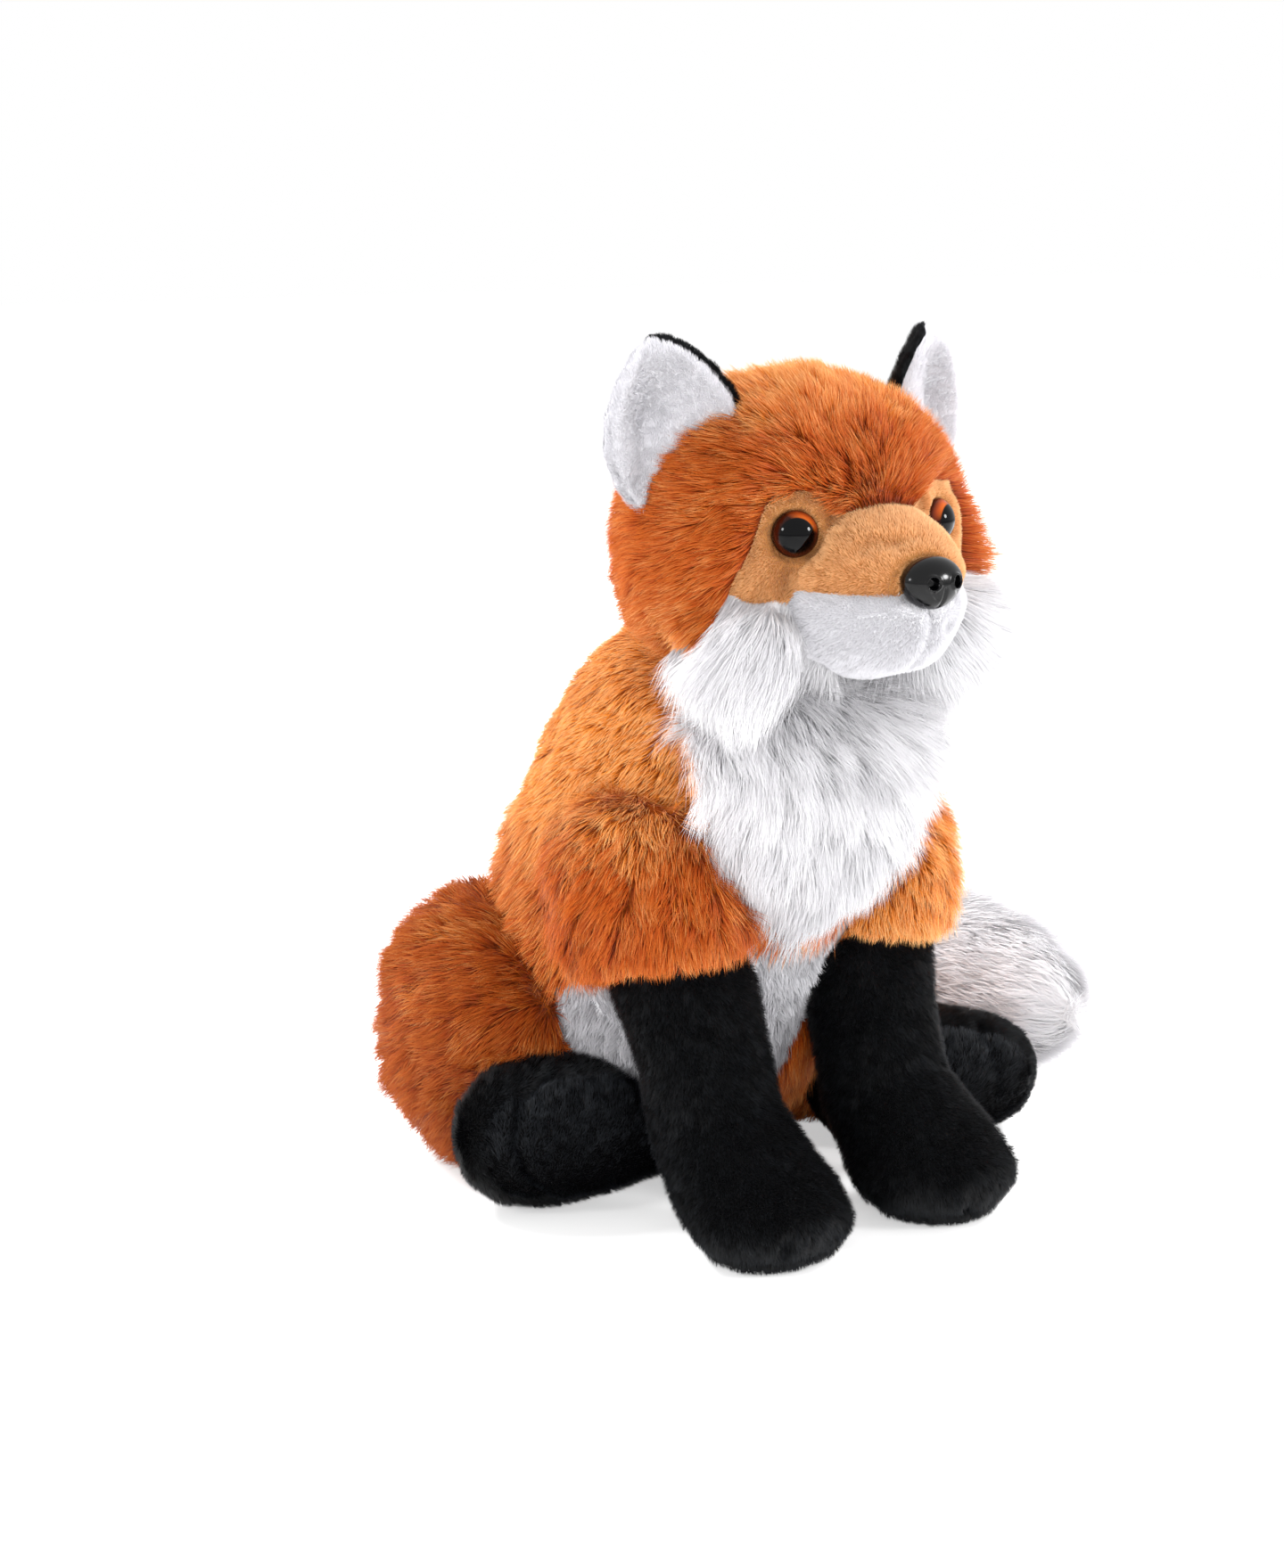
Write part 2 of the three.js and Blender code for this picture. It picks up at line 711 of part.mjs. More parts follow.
function makeHead() {
  const skull = solid(headForm(formSides, 0));
  const hollow = solid(headForm(hiddenSides, -longPileWall));
  const snout = solid(muzzleForm(formSides, 0));
  const snoutHollow = solid(muzzleForm(hiddenSides, -shortPileWall));
  const eyes = [-1, 1].map(makeEye);
  const tip = makeNose();
  const fronts = [...eyes, tip].map((piece) => piece.frontRoom);
  const washers = [...eyes, tip].map((piece) => piece.washerRoom);
  const snoutSeam = solid(muzzleForm(formSides, gap));
  const cheekSeams = [-1, 1].map((s) => solid(cheekForm(s, gap)));
  const group = new THREE.Group();
  const skin = without(skull, hollow, snoutHollow, neckRoom(), ...fronts, ...washers);
  const patchSeams = [-1, 1].map((s) => patchPrism(s, gap));
  group.add(node("head_skin", without(skin, ...cheekSeams, ...patchSeams), colours.orange));
  const packed = joined(
    solid(headForm(hiddenSides, -longPileWall - gap)),
    solid(muzzleForm(hiddenSides, -shortPileWall - gap)),
  );
  group.add(node("head_filling", without(packed, neckRoom(), ...fronts, ...washers), colours.filling));
  const snoutSkin = without(snout, snoutHollow, solid(headForm(formSides, gap)), ...fronts, ...washers);
  const high = [overrun, overrun, overrun];
  const whiteTop = upHead(muzzle.whiteTopShare);
  const tanSide = solid(box([-overrun, -overrun, whiteTop], high));
  const tanSeam = solid(box([-overrun, -overrun, whiteTop - gap], high));
  group.add(node("muzzle_top", snoutSkin.intersect(tanSide), colours.tan));
  group.add(node("muzzle_chin", snoutSkin.subtract(tanSeam), colours.white));
  for (const [i, side] of ["right", "left"].entries()) {
    const s = 2 * i - 1;
    const patchSkin = without(skin.intersect(patchPrism(s, 0)), cheekSeams[i]);
    group.add(node("eye_patch_" + side, patchSkin, colours.tan));
    const cheekSkin = without(solid(cheekForm(s, 0)), hollow, snoutSeam, ...fronts, ...washers);
    group.add(node("cheek_" + side, cheekSkin, colours.white));
    group.add(node("eye_" + side, eyes[i].front, colours.eyePlastic));
    group.add(node("eye_washer_" + side, eyes[i].washer, colours.washerPlastic));
  }
  group.add(node("nose", tip.front, colours.nosePlastic));
  group.add(node("nose_washer", tip.washer, colours.washerPlastic));
  return group;
}

function makeEar(s, side) {
  const base = earBase(s);
  const hinge = leaving(headForm(formSides, 0), base, earTip(s, 0).sub(base).normalize());
  const axis = V(Math.cos(radians(ear.facing)), s * Math.sin(radians(ear.facing)), 0);
  const skullRoom = room(headForm(formSides, joinGap), passed(hinge, axis, -ear.fold, ear.fold));
  const leaf = solid(earForm(s, 0, 0, 0));
  const lining = solid(earForm(s, 0, ear.liningInset, ear.liningRise));
  const liningSeam = solid(earForm(s, gap, ear.liningInset, ear.liningRise));
  const group = new THREE.Group();
  group.add(node("ear_back_" + side, without(leaf, liningSeam, skullRoom), colours.black));
  group.add(node("ear_lining_" + side, without(lining, skullRoom), colours.white));
  return group;
}

function makeFrontLeg(s, side) {
  const bodyRoom = joined(torsoRoom(passed(shoulder, X, -frontLeg.lift, 0)), thighRoom(s));
  const outer = solid(sleeveForm(s, formSides, 0));
  const hollow = solid(sleeveForm(s, hiddenSides, -longPileWall));
  const legHollow = solid(frontLegForm(s, hiddenSides, -shortPileWall));
  const leg = without(
    solid(frontLegForm(s, limbSides, 0)),
    legHollow,
    solid(sleeveForm(s, formSides, gap)),
    bodyRoom,
  );
  const packed = joined(
    solid(sleeveForm(s, hiddenSides, -longPileWall - gap)),
    solid(frontLegForm(s, hiddenSides, -shortPileWall - gap)),
  );
  const low = [-overrun, -overrun, -overrun];
  const soleSide = solid(box(low, [overrun, overrun, frontLeg.soleTop]));
  const soleSeam = solid(box(low, [overrun, overrun, frontLeg.soleTop + gap]));
  const group = new THREE.Group();
  group.add(node("front_sleeve_" + side, without(outer, hollow, legHollow, bodyRoom), colours.orange));
  group.add(node("front_stocking_" + side, leg.subtract(soleSeam), colours.black));
  group.add(node("front_sole_" + side, onFloor(leg.intersect(soleSide)), colours.black));
  group.add(node("front_filling_" + side, onFloor(packed.subtract(bodyRoom)), colours.filling));
  return group;
}

// All that lies ahead of the sole's seam on a hind foot
function soleSide(pose, grow) {
  const start = foot.length * foot.soleShare - grow;
  const half = box([-overrun, -overrun, -overrun], [overrun, -start, overrun]);
  return solid(half.rotateZ(radians(pose.turn) - Math.PI / 2).translate(pose.x, pose.y, 0));
}

function makeHindLeg(s, side) {
  const pose = hindPose[side];
  const bodyRoom = torsoRoom(passed(hip(pose), X, -foot.lift, 0));
  const outer = solid(thighForm(s, pose, formSides, 0));
  const hollow = solid(thighForm(s, pose, hiddenSides, -longPileWall));
  const footHollow = solid(footForm(pose, hiddenSides, -shortPileWall));
  const paw = without(
    solid(footForm(pose, limbSides, 0)),
    footHollow,
    solid(thighForm(s, pose, formSides, gap)),
    bodyRoom,
  );
  const packed = joined(
    solid(thighForm(s, pose, hiddenSides, -longPileWall - gap)),
    solid(footForm(pose, hiddenSides, -shortPileWall - gap)),
  );
  const thighSkin = without(outer, hollow, footHollow, bodyRoom);
  const group = new THREE.Group();
  group.add(node("thigh_" + side, onFloor(thighSkin), colours.orange));
  group.add(node("hind_stocking_" + side, onFloor(paw.subtract(soleSide(pose, gap))), colours.black));
  group.add(node("hind_sole_" + side, onFloor(paw.intersect(soleSide(pose, 0))), colours.black));
  group.add(node("hind_filling_" + side, onFloor(packed.subtract(bodyRoom)), colours.filling));
  return group;
}

function makeTail() {
  const bodyRoom = torsoRoom(passed(tailRoot, Z, -tail.swingIn, tail.swingOut));
  const hollow = solid(tailForm(hiddenSides, -longPileWall));
  const skin = onFloor(without(solid(tailForm(limbSides, 0)), hollow, bodyRoom));
  const packed = solid(tailForm(hiddenSides, -longPileWall - gap));
  const curve = new THREE.CatmullRomCurve3(tailSpine, false, "centripetal");
  const seam = curve.getPointAt(tail.tipShare);
  const ahead = curve.getTangentAt(tail.tipShare);
  const turn = Math.atan2(ahead.y, ahead.x);
  const tipSide = (grow) => {
    const half = box([-grow, -overrun, -overrun], [overrun, overrun, overrun]);
    return solid(half.rotateZ(turn).translate(seam.x, seam.y, 0));
  };
  const group = new THREE.Group();
  group.add(node("tail_skin", skin.subtract(tipSide(gap)), colours.orange));
  group.add(node("tail_tip", skin.intersect(tipSide(0)), colours.white));
  group.add(node("tail_filling", onFloor(packed.subtract(bodyRoom)), colours.filling));
  return group;
}

const fox = new THREE.Group();
fox.add(makeTorso(), makeNeck(), makeHead(), makeTail());
for (const [s, side] of [
  [-1, "right"],
  [1, "left"],
]) {
  fox.add(makeEar(s, side), makeFrontLeg(s, side), makeHindLeg(s, side));
}
fox.position.y = -torso.seatY;

export default fox;
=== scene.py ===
"""A seated plush fox: its looks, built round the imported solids.

Each stuffed part is made as a maker makes it. A sack takes its shape from its solids, a short
run of cloth under pressure fills it between its seams, it is cut into its sewn panels, and the
pile of each panel is set strand by strand and brushed.
"""

import logging
import math
from dataclasses import dataclass, field, replace
from enum import Enum
from typing import Callable, ClassVar

import bmesh
import bpy
import numpy as np
from mathutils import Matrix, Vector
from mathutils.bvhtree import BVHTree
from mathutils.kdtree import KDTree


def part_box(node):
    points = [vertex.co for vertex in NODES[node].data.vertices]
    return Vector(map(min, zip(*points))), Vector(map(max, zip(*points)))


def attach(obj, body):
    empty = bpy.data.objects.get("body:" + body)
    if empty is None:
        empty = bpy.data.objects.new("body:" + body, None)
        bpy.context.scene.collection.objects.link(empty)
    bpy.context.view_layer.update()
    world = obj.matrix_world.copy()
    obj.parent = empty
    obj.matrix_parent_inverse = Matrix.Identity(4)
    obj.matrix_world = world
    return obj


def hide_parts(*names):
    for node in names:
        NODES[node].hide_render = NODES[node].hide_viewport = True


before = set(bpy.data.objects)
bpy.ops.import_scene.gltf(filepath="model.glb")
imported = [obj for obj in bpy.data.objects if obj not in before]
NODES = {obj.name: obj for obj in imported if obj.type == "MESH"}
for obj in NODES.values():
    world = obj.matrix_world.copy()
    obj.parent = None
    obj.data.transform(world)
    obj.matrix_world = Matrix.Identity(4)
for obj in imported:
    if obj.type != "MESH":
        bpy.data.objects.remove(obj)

LOG = logging.getLogger("fox")
MM = 0.001
FLOOR_CLEARANCE = 0.3 * MM
MOST_TRIANGLES = 170_000
SHORT_PILE = 4.0
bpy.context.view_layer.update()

Field = Callable[[np.ndarray], np.ndarray]


class Side(Enum):
    """The fox's own right and left, with the sign that each has along X."""

    RIGHT = -1
    LEFT = 1

    @property
    def word(self) -> str:
        """The side as the names of pieces spell it."""
        return self.name.lower()


def linear(colour: str) -> tuple[float, float, float, float]:
    """Turns an sRGB hex colour into the linear values that a shader takes.

    Args:
        colour: six hex digits after a hash.

    Returns:
        Linear red, green, blue and an alpha of one.
    """
    shares = [int(colour[i : i + 2], 16) / 255 for i in (1, 3, 5)]
    return (*[s / 12.92 if s <= 0.04045 else ((s + 0.055) / 1.055) ** 2.4 for s in shares], 1.0)


def add(tree: bpy.types.NodeTree, kind: str, inputs: dict, **settings) -> list:
    """Adds a node with its settings and its inputs, each a link or a constant.

    Args:
        tree: the node tree.
        kind: the node's type.
        inputs: a socket or a value for each input, by name or number.
        **settings: properties of the node itself.

    Returns:
        The node's outputs that are in use.
    """
    node = tree.nodes.new(kind)
    for key, value in settings.items():
        setattr(node, key, value)
    for key, value in inputs.items():
        named = [s for s in node.inputs if s.name == key and s.enabled]
        socket = named[0] if named else node.inputs[key]
        if isinstance(value, bpy.types.NodeSocket):
            tree.links.new(value, socket)
        else:
            socket.default_value = value
    return [s for s in node.outputs if s.enabled]


def smoothstep(low: float, high: float, value: np.ndarray) -> np.ndarray:
    """Rises smoothly from 0 at low to 1 at high."""
    share = np.clip((value - low) / (high - low), 0, 1)
    return share * share * (3 - 2 * share)


def unit(vectors: np.ndarray) -> np.ndarray:
    """Scales each row to a length of one."""
    return vectors / np.maximum(np.linalg.norm(vectors, axis=-1, keepdims=True), 1e-9)


# Finishes


def new_material(name: str) -> tuple[bpy.types.Material, bpy.types.NodeTree]:
    """An empty material and its node tree.

    Args:
        name: the material's name.

    Returns:
        The material and its tree, without nodes.
    """
    material = bpy.data.materials.new(name)
    material.use_nodes = True
    material.node_tree.nodes.clear()
    return material, material.node_tree


@dataclass(frozen=True)
class PileFinish:
    """Acrylic or polyester pile, extruded and brushed: soft gloss along each fibre.

    The colours run along a strand from its root over its middle to its tip, once for the
    deep strands and once for the bright ones, and each strand lies somewhere between. The dark
    roots are painted shade deep in the pile, and the pale tips painted light glowing through it.
    """

    name: str
    deep: tuple[str, str, str]
    bright: tuple[str, str, str]
    roughness: float = 0.55
    sheen: float = 0.25
    specular: float = 0.35

    def make(self) -> bpy.types.Material:
        """Builds the material, which reads (tint, along) from the strands' own map.

        Returns:
            The material.
        """
        material, tree = new_material(self.name)
        uv = add(tree, "ShaderNodeUVMap", {}, uv_map=STRAND_MAP)[0]
        tint, along, _ = add(tree, "ShaderNodeSeparateXYZ", {0: uv})
        ramps = []
        # each ramp darkens the root as painted shade and brightens the tip as painted light
        for colours in (self.deep, self.bright):
            ramp = tree.nodes.new("ShaderNodeValToRGB")
            tree.links.new(along, ramp.inputs[0])
            stops = ramp.color_ramp.elements
            stops[0].position, stops[0].color = 0.05, linear(colours[0])
            stops[1].position, stops[1].color = 0.95, linear(colours[2])
            middle = stops.new(0.5)
            middle.color = linear(colours[1])
            ramps.append(ramp.outputs[0])
        inputs = {"Factor": tint, "A": ramps[0], "B": ramps[1]}
        colour = add(tree, "ShaderNodeMix", inputs, data_type="RGBA")[0]
        inputs = {"Base Color": colour, "Roughness": self.roughness, "Specular IOR Level": self.specular}
        inputs |= {"Sheen Weight": self.sheen, "Sheen Roughness": 0.4}
        shader = add(tree, "ShaderNodeBsdfPrincipled", inputs)[0]
        add(tree, "ShaderNodeOutputMaterial", {"Surface": shader})
        return material


@dataclass(frozen=True)
class BackingFinish:
    """Knitted backing cloth that shows between the strands: matt, in the pile's own shade."""

    name: str
    colour: str
    shadow: str
    knit: float = 1.6 * MM

    def make(self) -> bpy.types.Material:
        """Builds the material on Object coordinates, with a knit of about 1.6 mm.

        Returns:
            The material.
        """
        material, tree = new_material(self.name)
        place = add(tree, "ShaderNodeTexCoord", {})[3]
        knit = add(tree, "ShaderNodeTexVoronoi", {"Vector": place, "Scale": 1 / self.knit})[0]
        cloud = add(tree, "ShaderNodeTexNoise", {"Vector": place, "Scale": 90.0, "Detail": 3.0})[0]
        shades = {"Factor": cloud, "A": linear(self.shadow), "B": linear(self.colour)}
        colour = add(tree, "ShaderNodeMix", shades, data_type="RGBA")[0]
        bump = add(tree, "ShaderNodeBump", {"Height": knit, "Strength": 0.5, "Distance": 0.4 * MM})[0]
        inputs = {"Base Color": colour, "Roughness": 0.95, "Specular IOR Level": 0.2, "Normal": bump}
        shader = add(tree, "ShaderNodeBsdfPrincipled", inputs)[0]
        add(tree, "ShaderNodeOutputMaterial", {"Surface": shader})
        return material


@dataclass(frozen=True)
class MouldedFinish:
    """Injection-moulded plastic: even colour with a faint cloud, and a polished or satin skin."""

    name: str
    colour: str
    roughness: float
    specular: float = 0.3

    def make(self) -> bpy.types.Material:
        """Builds the material, with a faint mould grain in its roughness.

        Returns:
            The material.
        """
        material, tree = new_material(self.name)
        place = add(tree, "ShaderNodeTexCoord", {})[3]
        cloud = add(tree, "ShaderNodeTexNoise", {"Vector": place, "Scale": 400.0, "Detail": 2.0})[0]
        span = {"Value": cloud, "To Min": self.roughness * 0.8, "To Max": self.roughness * 1.25}
        rough = add(tree, "ShaderNodeMapRange", span)[0]
        inputs = {
            "Base Color": linear(self.colour), "Roughness": rough, "Specular IOR Level": self.specular
        }
        shader = add(tree, "ShaderNodeBsdfPrincipled", inputs)[0]
        add(tree, "ShaderNodeOutputMaterial", {"Surface": shader})
        return material


@dataclass(frozen=True)
class EyeFinish:
    """A clear moulded eye, painted behind: black pupil, amber iris, polished front."""

    name: str = "polished_eye"

    def make(self) -> bpy.types.Material:
        """Builds the material, which reads (share of the radius, share up and inwards) from its map.

        Returns:
            The material.
        """
        material, tree = new_material(self.name)
        uv = add(tree, "ShaderNodeUVMap", {}, uv_map=EYE_MAP)[0]
        out, up, _ = add(tree, "ShaderNodeSeparateXYZ", {0: uv})
        ramps = []
        # most of the iris lies in shade, and light gathers where it is uppermost and next to the snout
        for inner, outer, rim in (("#240A04", "#3C1207", "#1A0703"), ("#D8661A", "#A9481A", "#43190A")):
            ramp = tree.nodes.new("ShaderNodeValToRGB")
            tree.links.new(out, ramp.inputs[0])
            stops = ramp.color_ramp.elements
            stops[0].position, stops[0].color = 0.72, linear("#010102")
            stops[1].position, stops[1].color = 0.99, linear(rim)
            for position, colour in ((0.76, inner), (0.88, outer)):
                stops.new(position).color = linear(colour)
            ramps.append(ramp.outputs[0])
        light = add(tree, "ShaderNodeMapRange", {"Value": up, "From Min": 0.74, "From Max": 0.92})[0]
        inputs = {"Factor": light, "A": ramps[0], "B": ramps[1]}
        colour = add(tree, "ShaderNodeMix", inputs, data_type="RGBA")[0]
        inputs = {"Base Color": colour, "Roughness": 0.03, "Specular IOR Level": 0.17}
        shader = add(tree, "ShaderNodeBsdfPrincipled", inputs)[0]
        add(tree, "ShaderNodeOutputMaterial", {"Surface": shader})
        return material


Finish = PileFinish | BackingFinish | MouldedFinish | EyeFinish
STRAND_MAP = "OFBake"
EYE_MAP = "eye_rings"
VECTOR, MATH = "ShaderNodeVectorMath", "ShaderNodeMath"

# long brushed acrylic pile: soft streaks of light along the strands, with painted shade at the roots and
# painted light at the pale tips
ORANGE_PILE = PileFinish(
    "orange_pile", ("#6A2003", "#AE4206", "#D06818"), ("#983E0A", "#E48428", "#FFCC88"), 0.5, 0.08, 0.22
)
WHITE_PILE = PileFinish("white_pile", ("#C0BFC2", "#D2D1D4", "#DCDBDE"), ("#E6E5E7", "#F8F7F9", "#FCFBFD"))
# sheared polyester velboa: short, dense and even, with hardly any gloss
WHITE_PLUSH = PileFinish(
    "white_plush", ("#BCBBBF", "#D3D2D6", "#DDDCE0"), ("#D6D5D9", "#EAE9ED", "#F2F1F5"), sheen=0.15
)
TAN_PLUSH = PileFinish(
    "tan_plush", ("#A9662E", "#D2894A", "#DE9C5E"), ("#C08044", "#E6AA70", "#F2C48E"), sheen=0.15
)
BLACK_PLUSH = PileFinish(
    "black_plush", ("#030304", "#060607", "#0B0B0D"), ("#040405", "#0E1012", "#202328"), 0.55, 0.0, 0.24
)
# painted shade darkens the thighs' and the belly's pile, and painted light brightens the soles' pile
SHADED_THIGH_PILE = replace(ORANGE_PILE, name="thigh_pile", deep=("#5C1B03", "#963806", "#B85A14"))
SHADED_BELLY_PLUSH = replace(WHITE_PLUSH, name="belly_plush", deep=("#9E9DA1", "#B4B3B7", "#C0BFC3"))
LIT_SOLE_PLUSH = PileFinish(
    "sole_plush", ("#060607", "#0B0B0D", "#131316"), ("#0A0A0C", "#1B1D20", "#30343A"), 0.55, 0.0, 0.3
)
# knitted polyester backing, seen only between the strands
ORANGE_BACKING = BackingFinish("orange_backing", "#96480F", "#6E2C07")
WHITE_BACKING = BackingFinish("white_backing", "#E6E5E8", "#D4D3D6")
TAN_BACKING = BackingFinish("tan_backing", "#BE8650", "#A36C38")
BLACK_BACKING = BackingFinish("black_backing", "#070708", "#030304")
FIBRE_FILL = BackingFinish("fibre_fill", "#F0F0EC", "#E2E2DE")
# injection-moulded polypropylene: satin black on the nose, plain white inside
NOSE_PLASTIC = MouldedFinish("nose_plastic", "#040405", 0.16, specular=0.3)
WASHER_PLASTIC = MouldedFinish("washer_plastic", "#E8E8E4", 0.5)


class Finishes:
    """Makes each material once."""

    made: dict[str, bpy.types.Material] = {}

    @classmethod
    def of(cls, finish: Finish) -> bpy.types.Material:
        """The material of a finish."""
        if finish.name not in cls.made:
            cls.made[finish.name] = finish.make()
        return cls.made[finish.name]


# Meshes


def new_object(name: str, mesh: bpy.types.Mesh) -> bpy.types.Object:
    """Puts a mesh into the scene at the origin."""
    made = bpy.data.objects.new(name, mesh)
    bpy.context.scene.collection.objects.link(made)
    return made


def new_mesh(name: str, points: np.ndarray, faces: list) -> bpy.types.Mesh:
    """A mesh of the given points and faces.

    Args:
        name: the mesh's name.
        points: places, one row each.
        faces: the numbers of the points of each face.

    Returns:
        The mesh.
    """
    mesh = bpy.data.meshes.new(name)
    mesh.from_pydata([tuple(p) for p in points], [], [tuple(int(i) for i in f) for f in faces])
    mesh.update()
    return mesh


def evaluated(made: bpy.types.Object) -> bpy.types.Mesh:
    """The object's mesh with its modifiers applied."""
    ready = made.evaluated_get(bpy.context.evaluated_depsgraph_get())
    return bpy.data.meshes.new_from_object(ready)


def apply_modifiers(made: bpy.types.Object) -> None:
    """Replaces the object's mesh by its evaluated mesh and drops the modifiers."""
    mesh = evaluated(made)
    made.modifiers.clear()
    made.data = mesh


def places(mesh: bpy.types.Mesh) -> np.ndarray:
    """The places of the vertices, one row each."""
    flat = np.zeros(len(mesh.vertices) * 3, np.float32)
    mesh.vertices.foreach_get("co", flat)
    return flat.reshape(-1, 3).astype(float)


def put_places(mesh: bpy.types.Mesh, points: np.ndarray) -> None:
    """Moves the vertices to the given places."""
    mesh.vertices.foreach_set("co", points.astype(np.float32).ravel())
    mesh.update()


def normals(mesh: bpy.types.Mesh) -> np.ndarray:
    """The normals at the vertices, one row each."""
    flat = np.zeros(len(mesh.vertices) * 3, np.float32)
    mesh.vertices.foreach_get("normal", flat)
    return flat.reshape(-1, 3).astype(float)


def relaxed(mesh: bpy.types.Mesh, values: np.ndarray, shares: list[float]) -> np.ndarray:
    """Moves each vertex's value towards its neighbours' mean, once for each share.

    Args:
        mesh: the mesh whose edges join the vertices.
        values: a row for each vertex.
        shares: how far each step moves, below zero to swell again.

    Returns:
        The moved values.
    """
    edges = np.zeros(len(mesh.edges) * 2, int)
    mesh.edges.foreach_get("vertices", edges)
    a, b = edges.reshape(-1, 2).T
    rows = values.reshape(len(values), -1).copy()
    count = np.bincount(a, minlength=len(rows)) + np.bincount(b, minlength=len(rows))
    for share in shares:
        total = np.zeros_like(rows)
        np.add.at(total, a, rows[b])
        np.add.at(total, b, rows[a])
        rows += share * (total / np.maximum(count, 1)[:, None] - rows)
    return rows.reshape(values.shape)


def drop(made: bpy.types.Object) -> None:
    """Deletes a scratch object and its mesh."""
    mesh = made.data
    bpy.data.objects.remove(made)
    bpy.data.meshes.remove(mesh)


def node_tree_of(names: tuple[str, ...]) -> BVHTree:
    """A search tree of the surfaces of some CAD nodes.

    Args:
        names: the nodes' names.

    Returns:
        The search tree.
    """
    points, faces = [], []
    for name in names:
        mesh = NODES[name].data
        base = len(points)
        points += [v.co.copy() for v in mesh.vertices]
        faces += [[base + i for i in p.vertices] for p in mesh.polygons]
    return BVHTree.FromPolygons(points, faces)


def distances(tree: BVHTree, points: np.ndarray, limit: float) -> np.ndarray:
    """The distance of each point from a surface, capped at a limit.

    Args:
        tree: the surface's search tree.
        points: places, one row each.
        limit: the greatest distance that is told.

    Returns:
        A distance for each point.
    """
    found = [tree.find_nearest(Vector(p), limit)[3] for p in points]
    return np.array([limit if d is None else d for d in found])


# Pile


@dataclass(frozen=True)
class Pile:
    """How one kind of pile grows, in millimetres and strands per square millimetre."""

    length: float
    per_mm2: float
    width: float
    lift: float = 0.5
    lay: float = 0.2
    spread: float = 0.18
    tuft: float = 5.0
    gather: float = 0.35
    tuft_tilt: float = 0.22
    sway: float = 0.35
    twist: float = 0.5
    tuft_tint: float = 0.3
    strand_tint: float = 0.35
    mottle: float = 0.35
    ragged: float = 0.16


